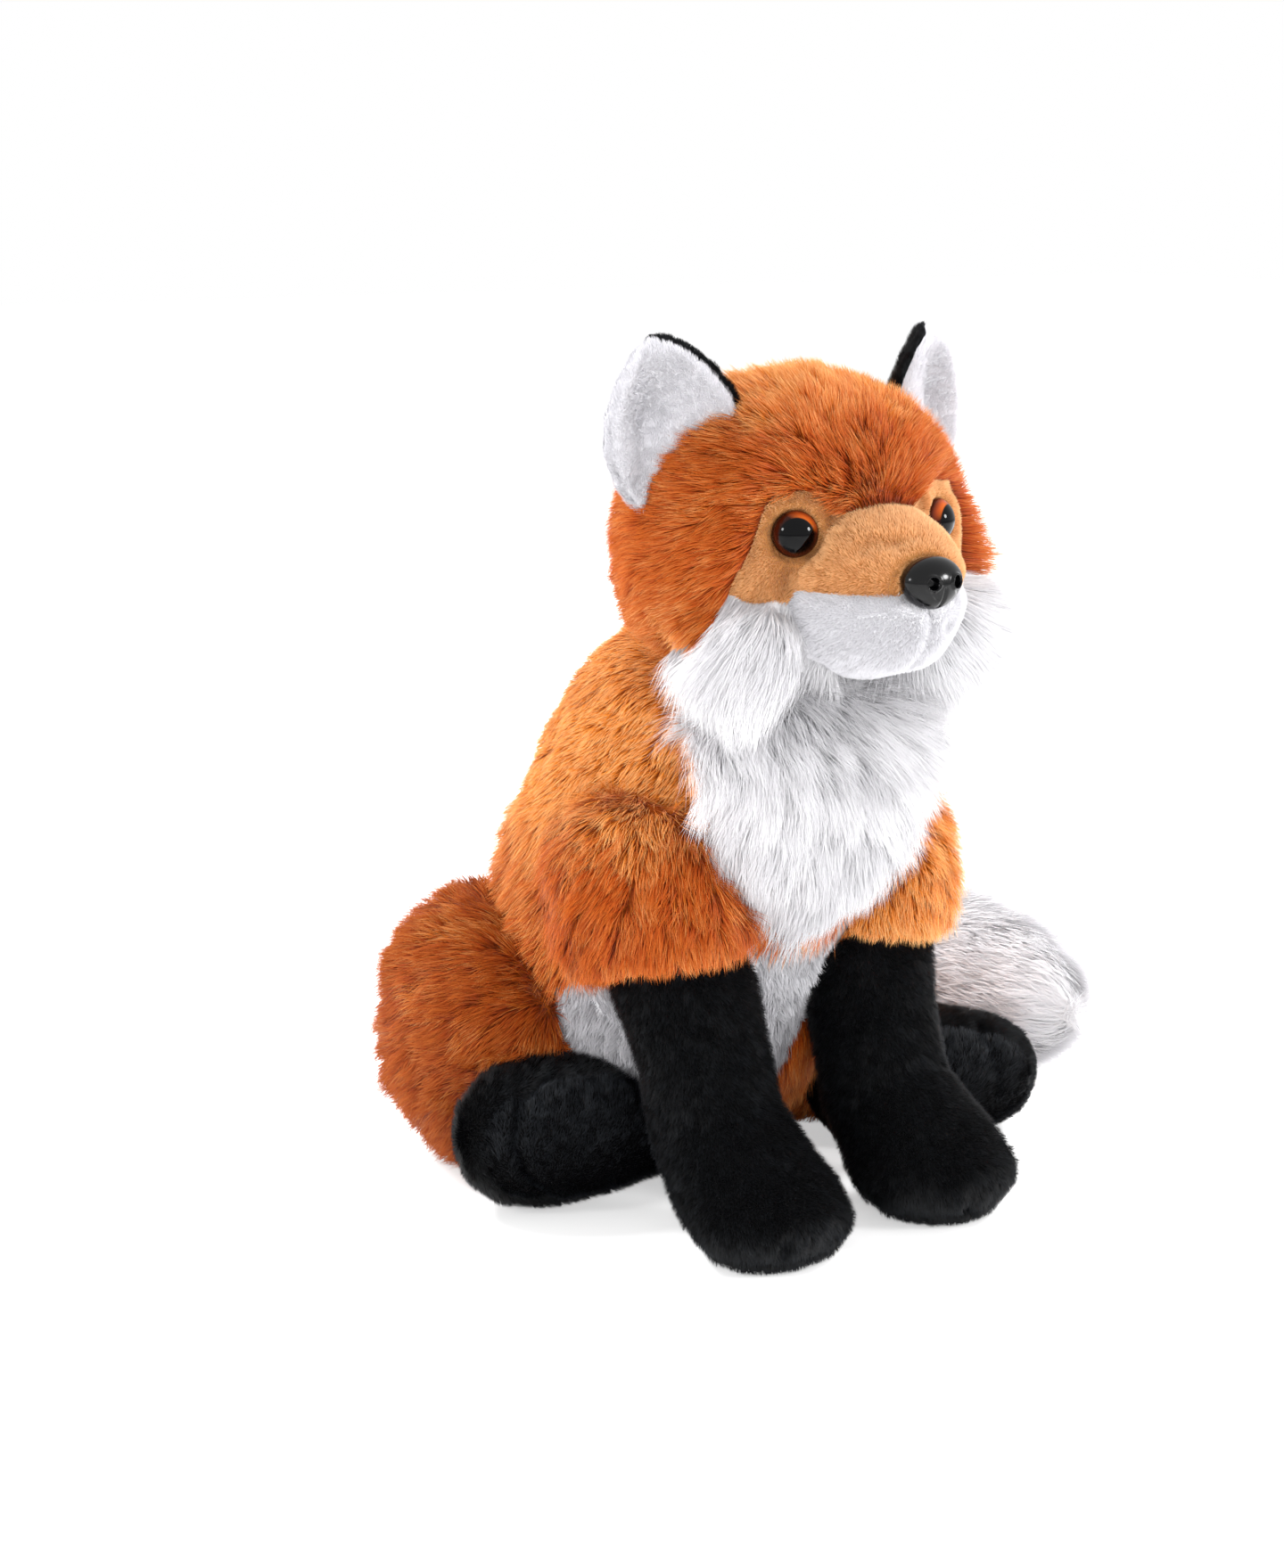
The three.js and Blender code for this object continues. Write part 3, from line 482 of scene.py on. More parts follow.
class PileTree:
    """The node tree that sets a strand at each of many random points of a panel."""

    SHARES = (
        "Lift", "Lay", "Spread", "Gather", "Tuft Tilt", "Sway", "Twist", "Tuft Tint", "Strand Tint",
        "Mottle", "Ragged"
    )
    INPUTS = {
        "NodeSocketFloat": ("Density", "Tuft Density", "Length", "Width", *SHARES),
        "NodeSocketInt": ("Seed",), "NodeSocketObject": ("Strand",), "NodeSocketMaterial": ("Finish",)
    }

    def __init__(self) -> None:
        """Builds the tree and its two strand blanks."""
        self.tree = bpy.data.node_groups.new("brushed_pile", "GeometryNodeTree")
        face = self.tree.interface
        face.new_socket("Geometry", in_out="INPUT", socket_type="NodeSocketGeometry")
        for kind, names in self.INPUTS.items():
            for name in names:
                face.new_socket(name, in_out="INPUT", socket_type=kind)
        face.new_socket("Geometry", in_out="OUTPUT", socket_type="NodeSocketGeometry")
        self.identifiers = {
            item.name: item.identifier for item in face.items_tree if item.in_out == "INPUT"
        }
        self.given = {s.name: s for s in self.tree.nodes.new("NodeGroupInput").outputs}
        self.build()
        self.long_strand = self.blank(
            "long_strand", [(-0.5, 0), (0.5, 0), (0.4, 0.55), (-0.4, 0.55), (0, 1)],
            [(0, 1, 2, 3), (3, 2, 4)]
        )
        self.short_strand = self.blank("short_strand", [(-0.5, 0), (0.5, 0), (0, 1)], [(0, 1, 2)])

    @staticmethod
    def blank(name: str, points: list[tuple[float, float]], faces: list) -> bpy.types.Object:
        """A flat strand with its two coordinates as attributes.

        Args:
            name: the blank's name.
            points: places across and along the strand.
            faces: the faces between them.

        Returns:
            A scratch object that holds the strand.
        """
        mesh = new_mesh(name, np.array([(x, 0, y) for x, y in points]) * MM, faces)
        for k, key in enumerate(("strand_across", "strand_along")):
            values = mesh.attributes.new(key, "FLOAT", "POINT")
            values.data.foreach_set("value", np.array([p[k] for p in points], np.float32))
        return new_object(name, mesh)

    def add(self, kind: str, inputs: dict, **settings) -> list:
        """Adds a node to this tree."""
        return add(self.tree, kind, inputs, **settings)

    def build(self) -> None:
        """Joins up the whole tree."""
        given, node = self.given, self.add
        position = node("GeometryNodeInputPosition", {})[0]
        flow = node("GeometryNodeInputNamedAttribute", {"Name": "strand_flow"}, data_type="FLOAT_VECTOR")[0]
        thrift = node("GeometryNodeInputNamedAttribute", {"Name": "strand_pile"}, data_type="FLOAT")[0]
        shade = node("GeometryNodeInputNamedAttribute", {"Name": "strand_shade"}, data_type="FLOAT")[0]
        sown = node(MATH, {0: thrift, 1: 0.05}, operation="GREATER_THAN")[0]
        density = node(MATH, {0: given["Density"], 1: sown}, operation="MULTIPLY")[0]
        inputs = {"Mesh": given["Geometry"], "Density": density, "Seed": given["Seed"]}
        points, normal = node("GeometryNodeDistributePointsOnFaces", inputs)[:2]
        inputs = {"Mesh": given["Geometry"], "Density": given["Tuft Density"], "Seed": 7}
        tufts = node("GeometryNodeDistributePointsOnFaces", inputs)[0]
        near = node("GeometryNodeSampleNearest", {"Geometry": tufts, "Sample Position": position})[0]
        inputs = {"Geometry": tufts, "Value": position, "Index": near}
        tuft_root = node("GeometryNodeSampleIndex", inputs, data_type="FLOAT_VECTOR")[0]

        span = {"Min": (-1, -1, -1), "Max": (1, 1, 1)}
        own = node("FunctionNodeRandomValue", {**span, "Seed": 11}, data_type="FLOAT_VECTOR")[0]
        other = node("FunctionNodeRandomValue", {**span, "Seed": 12}, data_type="FLOAT_VECTOR")[0]
        span |= {"ID": near, "Seed": 13}
        tuft = node("FunctionNodeRandomValue", span, data_type="FLOAT_VECTOR")[0]
        own_share, _, tint_share = node("ShaderNodeSeparateXYZ", {0: other})
        tuft_share, tuft_size, _ = node("ShaderNodeSeparateXYZ", {0: tuft})

        # slow sway of the brushing over the panel, about every 25 mm
        wave = node("ShaderNodeTexNoise", {"Vector": position, "Scale": 42.0, "Detail": 2.0})[1]
        wave = node(VECTOR, {0: wave, 1: (0.5, 0.5, 0.5)}, operation="SUBTRACT")[0]
        wave = node(VECTOR, {0: wave, "Scale": given["Sway"]}, operation="SCALE")[0]
        wave = node(VECTOR, {0: wave, 1: (4, 4, 4)}, operation="MULTIPLY")[0]
        brushed = node(VECTOR, {0: flow, 1: wave}, operation="ADD")[0]
        jitter = node(VECTOR, {0: own, "Scale": given["Spread"]}, operation="SCALE")[0]
        tilt = node(VECTOR, {0: tuft, "Scale": given["Tuft Tilt"]}, operation="SCALE")[0]
        loose = node(VECTOR, {0: jitter, 1: tilt}, operation="ADD")[0]

        # length: the panel's own, times the strand's and the tuft's luck
        luck = node(MATH, {0: own_share, 1: given["Ragged"], 2: 0.9}, operation="MULTIPLY_ADD")[0]
        tuft_luck = node(MATH, {0: tuft_size, 1: 0.1, 2: 1.0}, operation="MULTIPLY_ADD")[0]
        luck = node(MATH, {0: luck, 1: tuft_luck}, operation="MULTIPLY")[0]
        luck = node(MATH, {0: luck, 1: thrift}, operation="MULTIPLY")[0]
        length = node(MATH, {0: luck, 1: given["Length"]}, operation="MULTIPLY")[0]
        half = node(MATH, {0: length, 1: 0.5}, operation="MULTIPLY")[0]

        halves = []
        for share in (given["Lift"], given["Lay"]):
            inputs = {"Factor": share, "A": brushed, "B": normal}
            way = node("ShaderNodeMix", inputs, data_type="VECTOR")[0]
            way = node(VECTOR, {0: way, 1: loose}, operation="ADD")[0]
            way = node(VECTOR, {0: way}, operation="NORMALIZE")[0]
            halves.append(node(VECTOR, {0: way, "Scale": half}, operation="SCALE")[0])
        pull = node(VECTOR, {0: tuft_root, 1: position}, operation="SUBTRACT")[0]
        pull = node(VECTOR, {0: pull, "Scale": given["Gather"]}, operation="SCALE")[0]
        tip = node(VECTOR, {0: halves[0], 1: halves[1]}, operation="ADD")[0]
        tip = node(VECTOR, {0: tip, 1: pull}, operation="ADD")[0]
        turn = node(VECTOR, {0: own, "Scale": given["Twist"]}, operation="SCALE")[0]
        turn = node(VECTOR, {0: turn, 1: normal}, operation="ADD")[0]
        side = node(VECTOR, {0: tip, 1: turn}, operation="CROSS_PRODUCT")[0]
        side = node(VECTOR, {0: side}, operation="NORMALIZE")[0]

        # tint: the panel's shade, mostly painted light and shade, with clouds of about 12 mm, a tuft's
        # share and the strand's own
        cloud = node("ShaderNodeTexNoise", {"Vector": position, "Scale": 85.0, "Detail": 2.0})[0]
        cloud = node(MATH, {0: cloud, 1: 0.5}, operation="SUBTRACT")[0]
        shade = node(MATH, {0: cloud, 1: given["Mottle"], 2: shade}, operation="MULTIPLY_ADD")[0]
        tint = node(MATH, {0: tuft_share, 1: given["Tuft Tint"], 2: shade}, operation="MULTIPLY_ADD")[0]
        inputs = {0: tint_share, 1: given["Strand Tint"], 2: tint}
        tint = node(MATH, inputs, operation="MULTIPLY_ADD")[0]
        tint = node("ShaderNodeClamp", {"Value": tint, "Min": 0.03, "Max": 0.97})[0]

        kept = {
            "strand_root": (position, "FLOAT_VECTOR"), "strand_first": (halves[0], "FLOAT_VECTOR"),
            "strand_tip": (tip, "FLOAT_VECTOR"), "strand_side": (side, "FLOAT_VECTOR"),
            "strand_tint": (tint, "FLOAT")
        }
        for name, (value, kind) in kept.items():
            inputs = {"Geometry": points, "Name": name, "Value": value}
            points = node("GeometryNodeStoreNamedAttribute", inputs, data_type=kind, domain="POINT")[0]
        blank = node("GeometryNodeObjectInfo", {"Object": given["Strand"]}, transform_space="ORIGINAL")
        blank = [s for s in blank if s.name == "Geometry"][0]
        strands = node("GeometryNodeInstanceOnPoints", {"Points": points, "Instance": blank})[0]
        strands = node("GeometryNodeRealizeInstances", {"Geometry": strands})[0]
        self.finish(strands, kept)

    def finish(self, strands: bpy.types.NodeSocket, kept: dict) -> None:
        """Bends the set strands, maps them and gives them their finish.

        Args:
            strands: the strands' geometry.
            kept: the attributes that the strands carry, with their kinds.
        """
        given, node = self.given, self.add
        held = {}
        for name, (_, kind) in kept.items():
            held[name] = node("GeometryNodeInputNamedAttribute", {"Name": name}, data_type=kind)[0]
        for name in ("strand_across", "strand_along"):
            held[name] = node("GeometryNodeInputNamedAttribute", {"Name": name}, data_type="FLOAT")[0]
        along = held["strand_along"]
        square = node(MATH, {0: along, 1: along}, operation="MULTIPLY")[0]
        early = node(MATH, {0: along, 1: square}, operation="SUBTRACT")[0]
        early = node(MATH, {0: early, 1: 2.0}, operation="MULTIPLY")[0]
        wide = node(MATH, {0: held["strand_across"], 1: given["Width"]}, operation="MULTIPLY")[0]
        place = held["strand_root"]
        for vector, share in (("strand_first", early), ("strand_tip", square), ("strand_side", wide)):
            part = node(VECTOR, {0: held[vector], "Scale": share}, operation="SCALE")[0]
            place = node(VECTOR, {0: place, 1: part}, operation="ADD")[0]
        x, y, z = node("ShaderNodeSeparateXYZ", {0: place})
        z = node(MATH, {0: z, 1: FLOOR_CLEARANCE}, operation="MAXIMUM")[0]
        place = node("ShaderNodeCombineXYZ", {0: x, 1: y, 2: z})[0]
        strands = node("GeometryNodeSetPosition", {"Geometry": strands, "Position": place})[0]
        inputs = {0: held["strand_across"], 1: 0.012, 2: held["strand_tint"]}
        u = node(MATH, inputs, operation="MULTIPLY_ADD")[0]
        v = node(MATH, {0: along, 1: 0.96, 2: 0.02}, operation="MULTIPLY_ADD")[0]
        uv = node("ShaderNodeCombineXYZ", {0: u, 1: v})[0]
        inputs = {"Geometry": strands, "Name": STRAND_MAP, "Value": uv}
        strands = node("GeometryNodeStoreNamedAttribute", inputs, data_type="FLOAT2", domain="CORNER")[0]
        strands = node("GeometryNodeSetShadeSmooth", {"Geometry": strands})[0]
        inputs = {"Geometry": strands, "Name": "strand_*"}
        strands = node("GeometryNodeRemoveAttribute", inputs, pattern_mode="WILDCARD")[0]
        strands = node("GeometryNodeSetMaterial", {"Geometry": strands, "Material": given["Finish"]})[0]
        out = self.tree.nodes.new("NodeGroupOutput")
        self.tree.links.new(strands, out.inputs[0])

    def grow(self, name: str, ground: bpy.types.Mesh, pile: Pile, finish: PileFinish, seed: int) -> list:
        """Grows pile on a panel, in as many layers as keep each piece light.

        Args:
            name: the name of the piece.
            ground: the panel's outer faces, with the flow, pile and shade attributes.
            pile: the kind of pile.
            finish: its finish.
            seed: the seed of its random points.

        Returns:
            The layers of the pile, each a plain mesh object.
        """
        blank = self.short_strand if pile.length < SHORT_PILE else self.long_strand
        each = sum(len(face.vertices) - 2 for face in blank.data.polygons)
        area = sum(face.area for face in ground.polygons)
        layers = math.ceil(area * pile.per_mm2 / MM**2 * each / MOST_TRIANGLES)
        values = {name: getattr(pile, name.lower().replace(" ", "_")) for name in self.SHARES}
        values |= {"Density": pile.per_mm2 / MM**2 / layers, "Tuft Density": 1 / (pile.tuft * MM) ** 2}
        values |= {"Length": pile.length * MM, "Width": pile.width * MM}
        values |= {"Strand": blank, "Finish": Finishes.of(finish)}
        grown = []
        for layer in range(layers):
            made = new_object(f"{name}_{layer + 1}", ground.copy())
            modifier = made.modifiers.new("pile", "NODES")
            modifier.node_group = self.tree
            for key, value in values.items():
                modifier[self.identifiers[key]] = value
            modifier[self.identifiers["Seed"]] = seed + 37 * layer
            apply_modifiers(made)
            grown.append(made)
        return grown

    def clear(self) -> None:
        """Deletes the strand blanks."""
        drop(self.long_strand)
        drop(self.short_strand)


# Stuffed sacks


@dataclass
class Panel:
    """One sewn panel of a sack: the CAD node that it stands for, its cloth and its pile.

    Where reach is given, the panel takes that much more than the faces nearest to its node.
    Its pile is growth times as long as its kind says, leans over by lean, which is given the
    places and the normals, and is shorter near the nodes of clipped_at. Its shade, given the
    places, sets how far each strand lies from the deep colours towards the bright ones; most
    panels use it for painted light and shade.
    """

    node: str
    slot: str
    backing: BackingFinish
    finish: PileFinish
    pile: Pile
    flow: Field
    shade: Field | None = None
    reach: Field | None = None
    growth: Field | None = None
    lean: Callable[[np.ndarray, np.ndarray], np.ndarray] | None = None
    clipped_at: tuple[str, ...] = ()


@dataclass(frozen=True)
class Crease:
    """A soft crease along a line, where thread pulls the stuffing in, in millimetres.

    A depth below zero makes a swelling instead.
    """

    path: tuple[tuple[float, float, float], ...]
    width: float
    depth: float
    towards: tuple[float, float, float]

    def press(self, points: np.ndarray) -> np.ndarray:
        """Moves the points near the line towards the crease's inner end.

        Args:
            points: places, one row each.

        Returns:
            The moved places.
        """
        ends = np.array(self.path) * MM
        far = np.full(len(points), 1.0)
        for start, end in zip(ends, ends[1:]):
            along = end - start
            share = np.clip((points - start) @ along / (along @ along), 0, 1)
            far = np.minimum(far, np.linalg.norm(points - start - share[:, None] * along, axis=1))
        near = np.exp(-((far / (self.width * MM)) ** 2))[:, None]
        return points + near * self.depth * MM * unit(np.array(self.towards) * MM - points)


@dataclass
class Sack:
    """A stuffed sack: its shape, its filling and its panels, in millimetres.

    Its skin is made on voxels of the given size, relaxed as often as smoothing says, and filled at
    the pressure, which moves it by the cap at most. The shell is the thickness of the cloth, with
    some play between it and the filling.
    """

    name: str
    body: str
    panels: list[Panel]
    fillings: tuple[str, ...] = ()
    neighbours: tuple[str, ...] = ()
    least: float = 0.0
    voxel: float = 3.0
    smoothing: int = 3
    pressure: float = 4.0
    steps: int = 20
    cap: float = 2.0
    seam_depth: float = 0.8
    detail: int = 1
    fill: float = 0.85
    shell: float = 1.4
    play: float = 1.8
    swelling: float = 0.4
    filling_swelling: float = 1.3
    creases: tuple[Crease, ...] = ()
    dents: list = field(default_factory=list)

    def form(self) -> bpy.types.Object:
        """Joins slightly swollen copies of the CAD nodes and skins them with one even, closed mesh.

        Returns:
            The skin, as a scratch object.
        """
        joined = bmesh.new()
        mesh = bpy.data.meshes.new(self.name)
        for name in (*[p.node for p in self.panels], *self.fillings):
            part = bmesh.new()
            part.from_mesh(NODES[name].data)
            bmesh.ops.remove_doubles(part, verts=part.verts, dist=1e-6)
            part.normal_update()
            swelling = self.filling_swelling if name in self.fillings and self.panels else self.swelling
            for vertex in part.verts:
                vertex.co += vertex.normal * (swelling * MM)
            part.to_mesh(mesh)
            part.free()
            joined.from_mesh(mesh)
        joined.to_mesh(mesh)
        joined.free()
        made = new_object(self.name, mesh)
        remesh = made.modifiers.new("even", "REMESH")
        remesh.mode = "VOXEL"
        remesh.voxel_size = self.voxel * MM
        apply_modifiers(made)
        self.keep_outer(made)
        shares = [0.6, -0.35] * self.smoothing
        put_places(made.data, relaxed(made.data, places(made.data), shares))
        self.settle(made.data)
        return made

    def settle(self, mesh: bpy.types.Mesh) -> None:
        """Moves the relaxed skin back to the surface of the CAD nodes, without their facets.

        Args:
            mesh: the skin's mesh.
        """
        tree = node_tree_of(tuple(p.node for p in self.panels) or self.fillings)
        points, out = places(mesh), normals(mesh)
        short = np.zeros(len(points))
        ahead, reach, lowest, highest = 5 * MM, 9 * MM, -2 * MM, 4 * MM
        for i, (place, way) in enumerate(zip(points, out)):
            hit, facing, _, far = tree.ray_cast(Vector(place + way * ahead), Vector(-way), reach)
            if hit is not None and facing.dot(Vector(way)) > 0.2:
                short[i] = np.clip(ahead - far, lowest, highest)
        short = relaxed(mesh, short, [0.5] * 6)
        put_places(mesh, points + out * short[:, None])

    @staticmethod
    def keep_outer(made: bpy.types.Object) -> None:
        """Keeps only the largest shell of a mesh.

        Args:
            made: the object.
        """
        work = bmesh.new()
        work.from_mesh(made.data)
        left, shells = set(work.verts), []
        while left:
            stack, shell = [left.pop()], []
            while stack:
                vertex = stack.pop()
                shell.append(vertex)
                for edge in vertex.link_edges:
                    far = edge.other_vert(vertex)
                    if far in left:
                        left.remove(far)
                        stack.append(far)
            shells.append(shell)
        shells.sort(key=len)
        for shell in shells[:-1]:
            bmesh.ops.delete(work, geom=shell, context="VERTS")
        work.to_mesh(made.data)
        work.free()

    def labels(self, points: np.ndarray) -> np.ndarray:
        """The number of the panel that lies nearest to each point.

        Args:
            points: places, one row each.

        Returns:
            The panel's number for each point.
        """
        near = []
        for panel in self.panels:
            far = distances(node_tree_of((panel.node,)), points, 0.05)
            near.append(far if panel.reach is None else far - panel.reach(points))
        return np.argmin(near, axis=0)

    def inflate(self, made: bpy.types.Object) -> None:
        """Fills the sack with a short run of cloth under pressure, held at its seams.

        Args:
            made: the skin.
        """
        mesh = made.data
        start = places(mesh)
        label = self.labels(start)
        edges = np.zeros(len(mesh.edges) * 2, int)
        mesh.edges.foreach_get("vertices", edges)
        a, b = edges.reshape(-1, 2).T
        seam = np.zeros(len(start), bool)
        split = label[a] != label[b]
        seam[a[split]] = True
        seam[b[split]] = True
        # the seat and the soles stay flat on the floor
        seam |= start[:, 2] < 1.2 * MM
        group = made.vertex_groups.new(name="seams")
        group.add(np.flatnonzero(seam).tolist(), 1.0, "REPLACE")
        cloth = made.modifiers.new("cloth", "CLOTH")
        settings = cloth.settings
        settings.quality = 4
        settings.mass = 0.2
        settings.use_pressure = True
        settings.uniform_pressure_force = self.pressure
        settings.vertex_group_mass = "seams"
        settings.effector_weights.gravity = 0
        scene = bpy.context.scene
        for step in range(1, self.steps + 1):
            scene.frame_set(step)
        mesh = evaluated(made)
        made.modifiers.clear()
        made.vertex_groups.clear()
        made.data = mesh
        scene.frame_set(1)
        points = places(mesh)
        moved = points - start
        far = np.linalg.norm(moved, axis=1, keepdims=True)
        cap = self.cap * MM
        moved *= np.tanh(far / cap) * cap / np.maximum(far, 1e-9)
        LOG.info("%s: cloth moved %.2f mm on average", self.name, far.mean() / MM)
        put_places(mesh, start + moved)
        points = places(mesh)
        points[seam] -= normals(mesh)[seam] * self.seam_depth * MM
        points[:, 2] = np.maximum(points[:, 2], FLOOR_CLEARANCE)
        put_places(mesh, points)

    def subdivide(self, made: bpy.types.Object, levels: int) -> None:
        """Subdivides the sack and presses its dents in.

        Args:
            made: the skin.
            levels: how often its faces are split.
        """
        if levels:
            finer = made.modifiers.new("finer", "SUBSURF")
            finer.levels = finer.render_levels = levels
            apply_modifiers(made)
        self.press(made.data)

    def press(self, mesh: bpy.types.Mesh) -> None:
        """Presses the dents into the sack and keeps it above the floor.

        Args:
            mesh: the mesh that is pressed.
        """
        points = places(mesh)
        for dent in (*self.dents, *[crease.press for crease in self.creases]):
            points = dent(points)
        points[:, 2] = np.maximum(points[:, 2], FLOOR_CLEARANCE)
        put_places(mesh, points)

    def stuffing(self, made: bpy.types.Object) -> None:
        """Makes the filling: the filled sack's shape, a shell's thickness inside it.

        Args:
            made: the filled skin.
        """
        if not self.fillings:
            return
        core = new_object(self.name + "_stuffing", made.data.copy())
        mesh = core.data
        self.press(mesh)
        points = places(mesh) - normals(mesh) * (self.shell + self.play) * MM
        points[:, 2] = np.maximum(points[:, 2], FLOOR_CLEARANCE + self.shell * MM)
        put_places(mesh, points)
        dress(core, FIBRE_FILL, self.body)
        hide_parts(*self.fillings)

    def build(self, pile_tree: PileTree, seed: int) -> None:
        """Builds the filling, the panels and their pile.

        Args:
            pile_tree: the tree that grows the pile.
            seed: the first seed of the panels' piles.
        """
        made = self.form()
        self.inflate(made)
        self.stuffing(made)
        self.subdivide(made, self.detail)
        mesh = made.data
        centres = np.zeros(len(mesh.polygons) * 3, np.float32)
        mesh.polygons.foreach_get("center", centres)
        label = self.labels(centres.reshape(-1, 3))
        self.straighten(mesh, label)
        neighbours = node_tree_of(self.neighbours) if self.neighbours else None
        for k, panel in enumerate(self.panels):
            ground = self.cut(mesh, label == k, panel.node + "_ground")
            self.comb(ground, panel, neighbours)
            skin = new_object(panel.node + "_cloth", ground.copy())
            solid = skin.modifiers.new("cloth", "SOLIDIFY")
            solid.thickness = self.shell * MM
            solid.offset = -1
            apply_modifiers(skin)
            points = places(skin.data)
            points[:, 2] = np.maximum(points[:, 2], FLOOR_CLEARANCE)
            put_places(skin.data, points)
            for name in ("strand_flow", "strand_pile", "strand_shade"):
                skin.data.attributes.remove(skin.data.attributes[name])
            dress(skin, panel.backing, self.body)
            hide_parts(panel.node)
            for pile in pile_tree.grow(panel.node + "_pile", ground, panel.pile, panel.finish, seed + k):
                ride(pile, self.body)
        drop(made)

    @staticmethod
    def straighten(mesh: bpy.types.Mesh, label: np.ndarray) -> None:
        """Draws each seam between the panels out into a smooth line.

        Args:
            mesh: the filled skin's mesh.
            label: the number of each face's panel.
        """
        work = bmesh.new()
        work.from_mesh(mesh)
        work.faces.index_update()
        beside: dict = {}
        for edge in work.edges:
            near = {label[face.index] for face in edge.link_faces}
            if len(near) > 1:
                a, b = edge.verts
                beside.setdefault(a, []).append(b)
                beside.setdefault(b, []).append(a)
        for _ in range(12):
            moved = {v: (ends[0].co + ends[1].co) / 2 for v, ends in beside.items() if len(ends) == 2}
            for vertex, place in moved.items():
                vertex.co = vertex.co.lerp(place, 0.5)
        work.to_mesh(mesh)
        work.free()

    @staticmethod
    def cut(mesh: bpy.types.Mesh, chosen: np.ndarray, name: str) -> bpy.types.Mesh:
        """A new mesh of the chosen faces only.

        Args:
            mesh: the filled skin's mesh.
            chosen: whether each face is kept.
            name: the new mesh's name.

        Returns:
            The new mesh.
        """
        work = bmesh.new()
        work.from_mesh(mesh)
        work.faces.ensure_lookup_table()
        lost = [work.faces[i] for i in np.flatnonzero(~chosen)]
        bmesh.ops.delete(work, geom=lost, context="FACES")
        made = bpy.data.meshes.new(name)
        work.to_mesh(made)
        work.free()
        made.polygons.foreach_set("use_smooth", np.ones(len(made.polygons), bool))
        return made

    def comb(self, ground: bpy.types.Mesh, panel: Panel, neighbours: BVHTree | None) -> None:
        """Writes the panel's flow, length share and shade onto its ground.

        Args:
            ground: the panel's mesh.
            panel: the panel.
            neighbours: the surfaces that its pile makes room for, if any.
        """
        points, out = places(ground), normals(ground)
        flow = panel.flow(points)
        flow = unit(flow - out * np.sum(flow * out, axis=1, keepdims=True))
        if panel.lean is not None:
            flow += panel.lean(points, out)
        thrift = np.ones(len(points)) if panel.growth is None else panel.growth(points)
        if panel.clipped_at:
            far = distances(node_tree_of(panel.clipped_at), points, 0.02)
            shortest, gain, fade = 0.42, 0.58, 13 * MM
            thrift = thrift * (shortest + gain * smoothstep(0, fade, far))
        if neighbours is not None:
            touching, clear = 1.5 * MM, 5 * MM
            near = smoothstep(touching, clear, distances(neighbours, points, 0.01))
            thrift = thrift * (self.least + (1 - self.least) * near)
        # no pile grows where the cloth lies on the floor
        thrift = thrift * (1 - (out[:, 2] < -0.8) * (points[:, 2] < 2 * MM))
        shade = np.full(len(points), 0.5) if panel.shade is None else panel.shade(points)
        for name, kind, key, values in (
            ("strand_flow", "FLOAT_VECTOR", "vector", flow), ("strand_pile", "FLOAT", "value", thrift),
            ("strand_shade", "FLOAT", "value", shade)
        ):
            layer = ground.attributes.new(name, kind, "POINT")
            layer.data.foreach_set(key, values.astype(np.float32).ravel())


def ride(made: bpy.types.Object, body: str) -> None:
    """Puts a finished piece on its body and reports it.

    Args:
        made: the piece.
        body: the body that it rides on.
    """
    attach(made, body)
    LOG.info("%s: %d faces on %s", made.name, len(made.data.polygons), body)


def dress(made: bpy.types.Object, finish: Finish, body: str) -> None:
    """Gives a piece its finish, then puts it on its body.

    Args:
        made: the piece.
        finish: its finish.
        body: the body that it rides on.
    """
    made.data.materials.clear()
    made.data.materials.append(Finishes.of(finish))
    made.data.polygons.foreach_set("use_smooth", np.ones(len(made.data.polygons), bool))
    ride(made, body)


# Grooming: the way that the pile is brushed


def away_from(x: float, y: float, z: float, down: float = 0.0) -> Field:
    """Brushed away from a point in millimetres, and partly downwards.

    Args:
        x: the point's place along X.
        y: along Y.
        z: along Z.
        down: the downward share.

    Returns:
        The flow.
    """
    centre = np.array((x, y, z)) * MM

    def flow(points: np.ndarray) -> np.ndarray:
        """The way at each point."""
        return unit(points - centre) + np.array((0, 0, -down))

    return flow


def combed(x: float, y: float, z: float) -> Field:
    """Brushed in one direction."""
    return lambda points: np.tile(unit(np.array((x, y, z), float)), (len(points), 1))


def graded(low: float, high: float, least: float, most: float) -> Field:
    """A share that rises from least to most between two heights in millimetres."""
    return lambda points: least + (most - least) * smoothstep(low * MM, high * MM, points[:, 2])


def even(share: float) -> Field:
    """The same share all over."""
    return lambda points: np.full(len(points), share)


def near_to(points: np.ndarray, x: float, y: float, z: float, reach: float) -> np.ndarray:
    """A column that is 1 at a place and fades over a reach, in millimetres."""
    far = np.linalg.norm(points - np.array((x, y, z)) * MM, axis=1, keepdims=True)
    return np.exp(-((far / (reach * MM)) ** 2))


# Pile of each kind, in millimetres

HEAD_PILE = Pile(
    length=9.5, per_mm2=4.0, width=0.24, lift=0.58, lay=0.24, spread=0.14, gather=0.24, tuft_tilt=0.16,
    sway=0.55, tuft_tint=0.2, mottle=0.8, ragged=0.26
)
BODY_PILE = Pile(
    length=12.5, per_mm2=2.4, width=0.26, lift=0.48, lay=0.12, spread=0.15, tuft=6, gather=0.24,
    tuft_tilt=0.12, tuft_tint=0.2, mottle=0.5, ragged=0.28
)
LIMB_PILE = Pile(
    length=11.5, per_mm2=2.6, width=0.26, lift=0.5, lay=0.12, tuft_tilt=0.24, mottle=0.8, ragged=0.28
)
BIB_PILE = Pile(
    length=18, per_mm2=4.0, width=0.24, lift=0.56, lay=0.12, tuft=7, gather=0.3, sway=0.22, ragged=0.3
)
CHEEK_PILE = Pile(
    length=16, per_mm2=5.5, width=0.24, lift=0.36, lay=0.1, tuft=6, gather=0.14, tuft_tilt=0.16, ragged=0.42
)
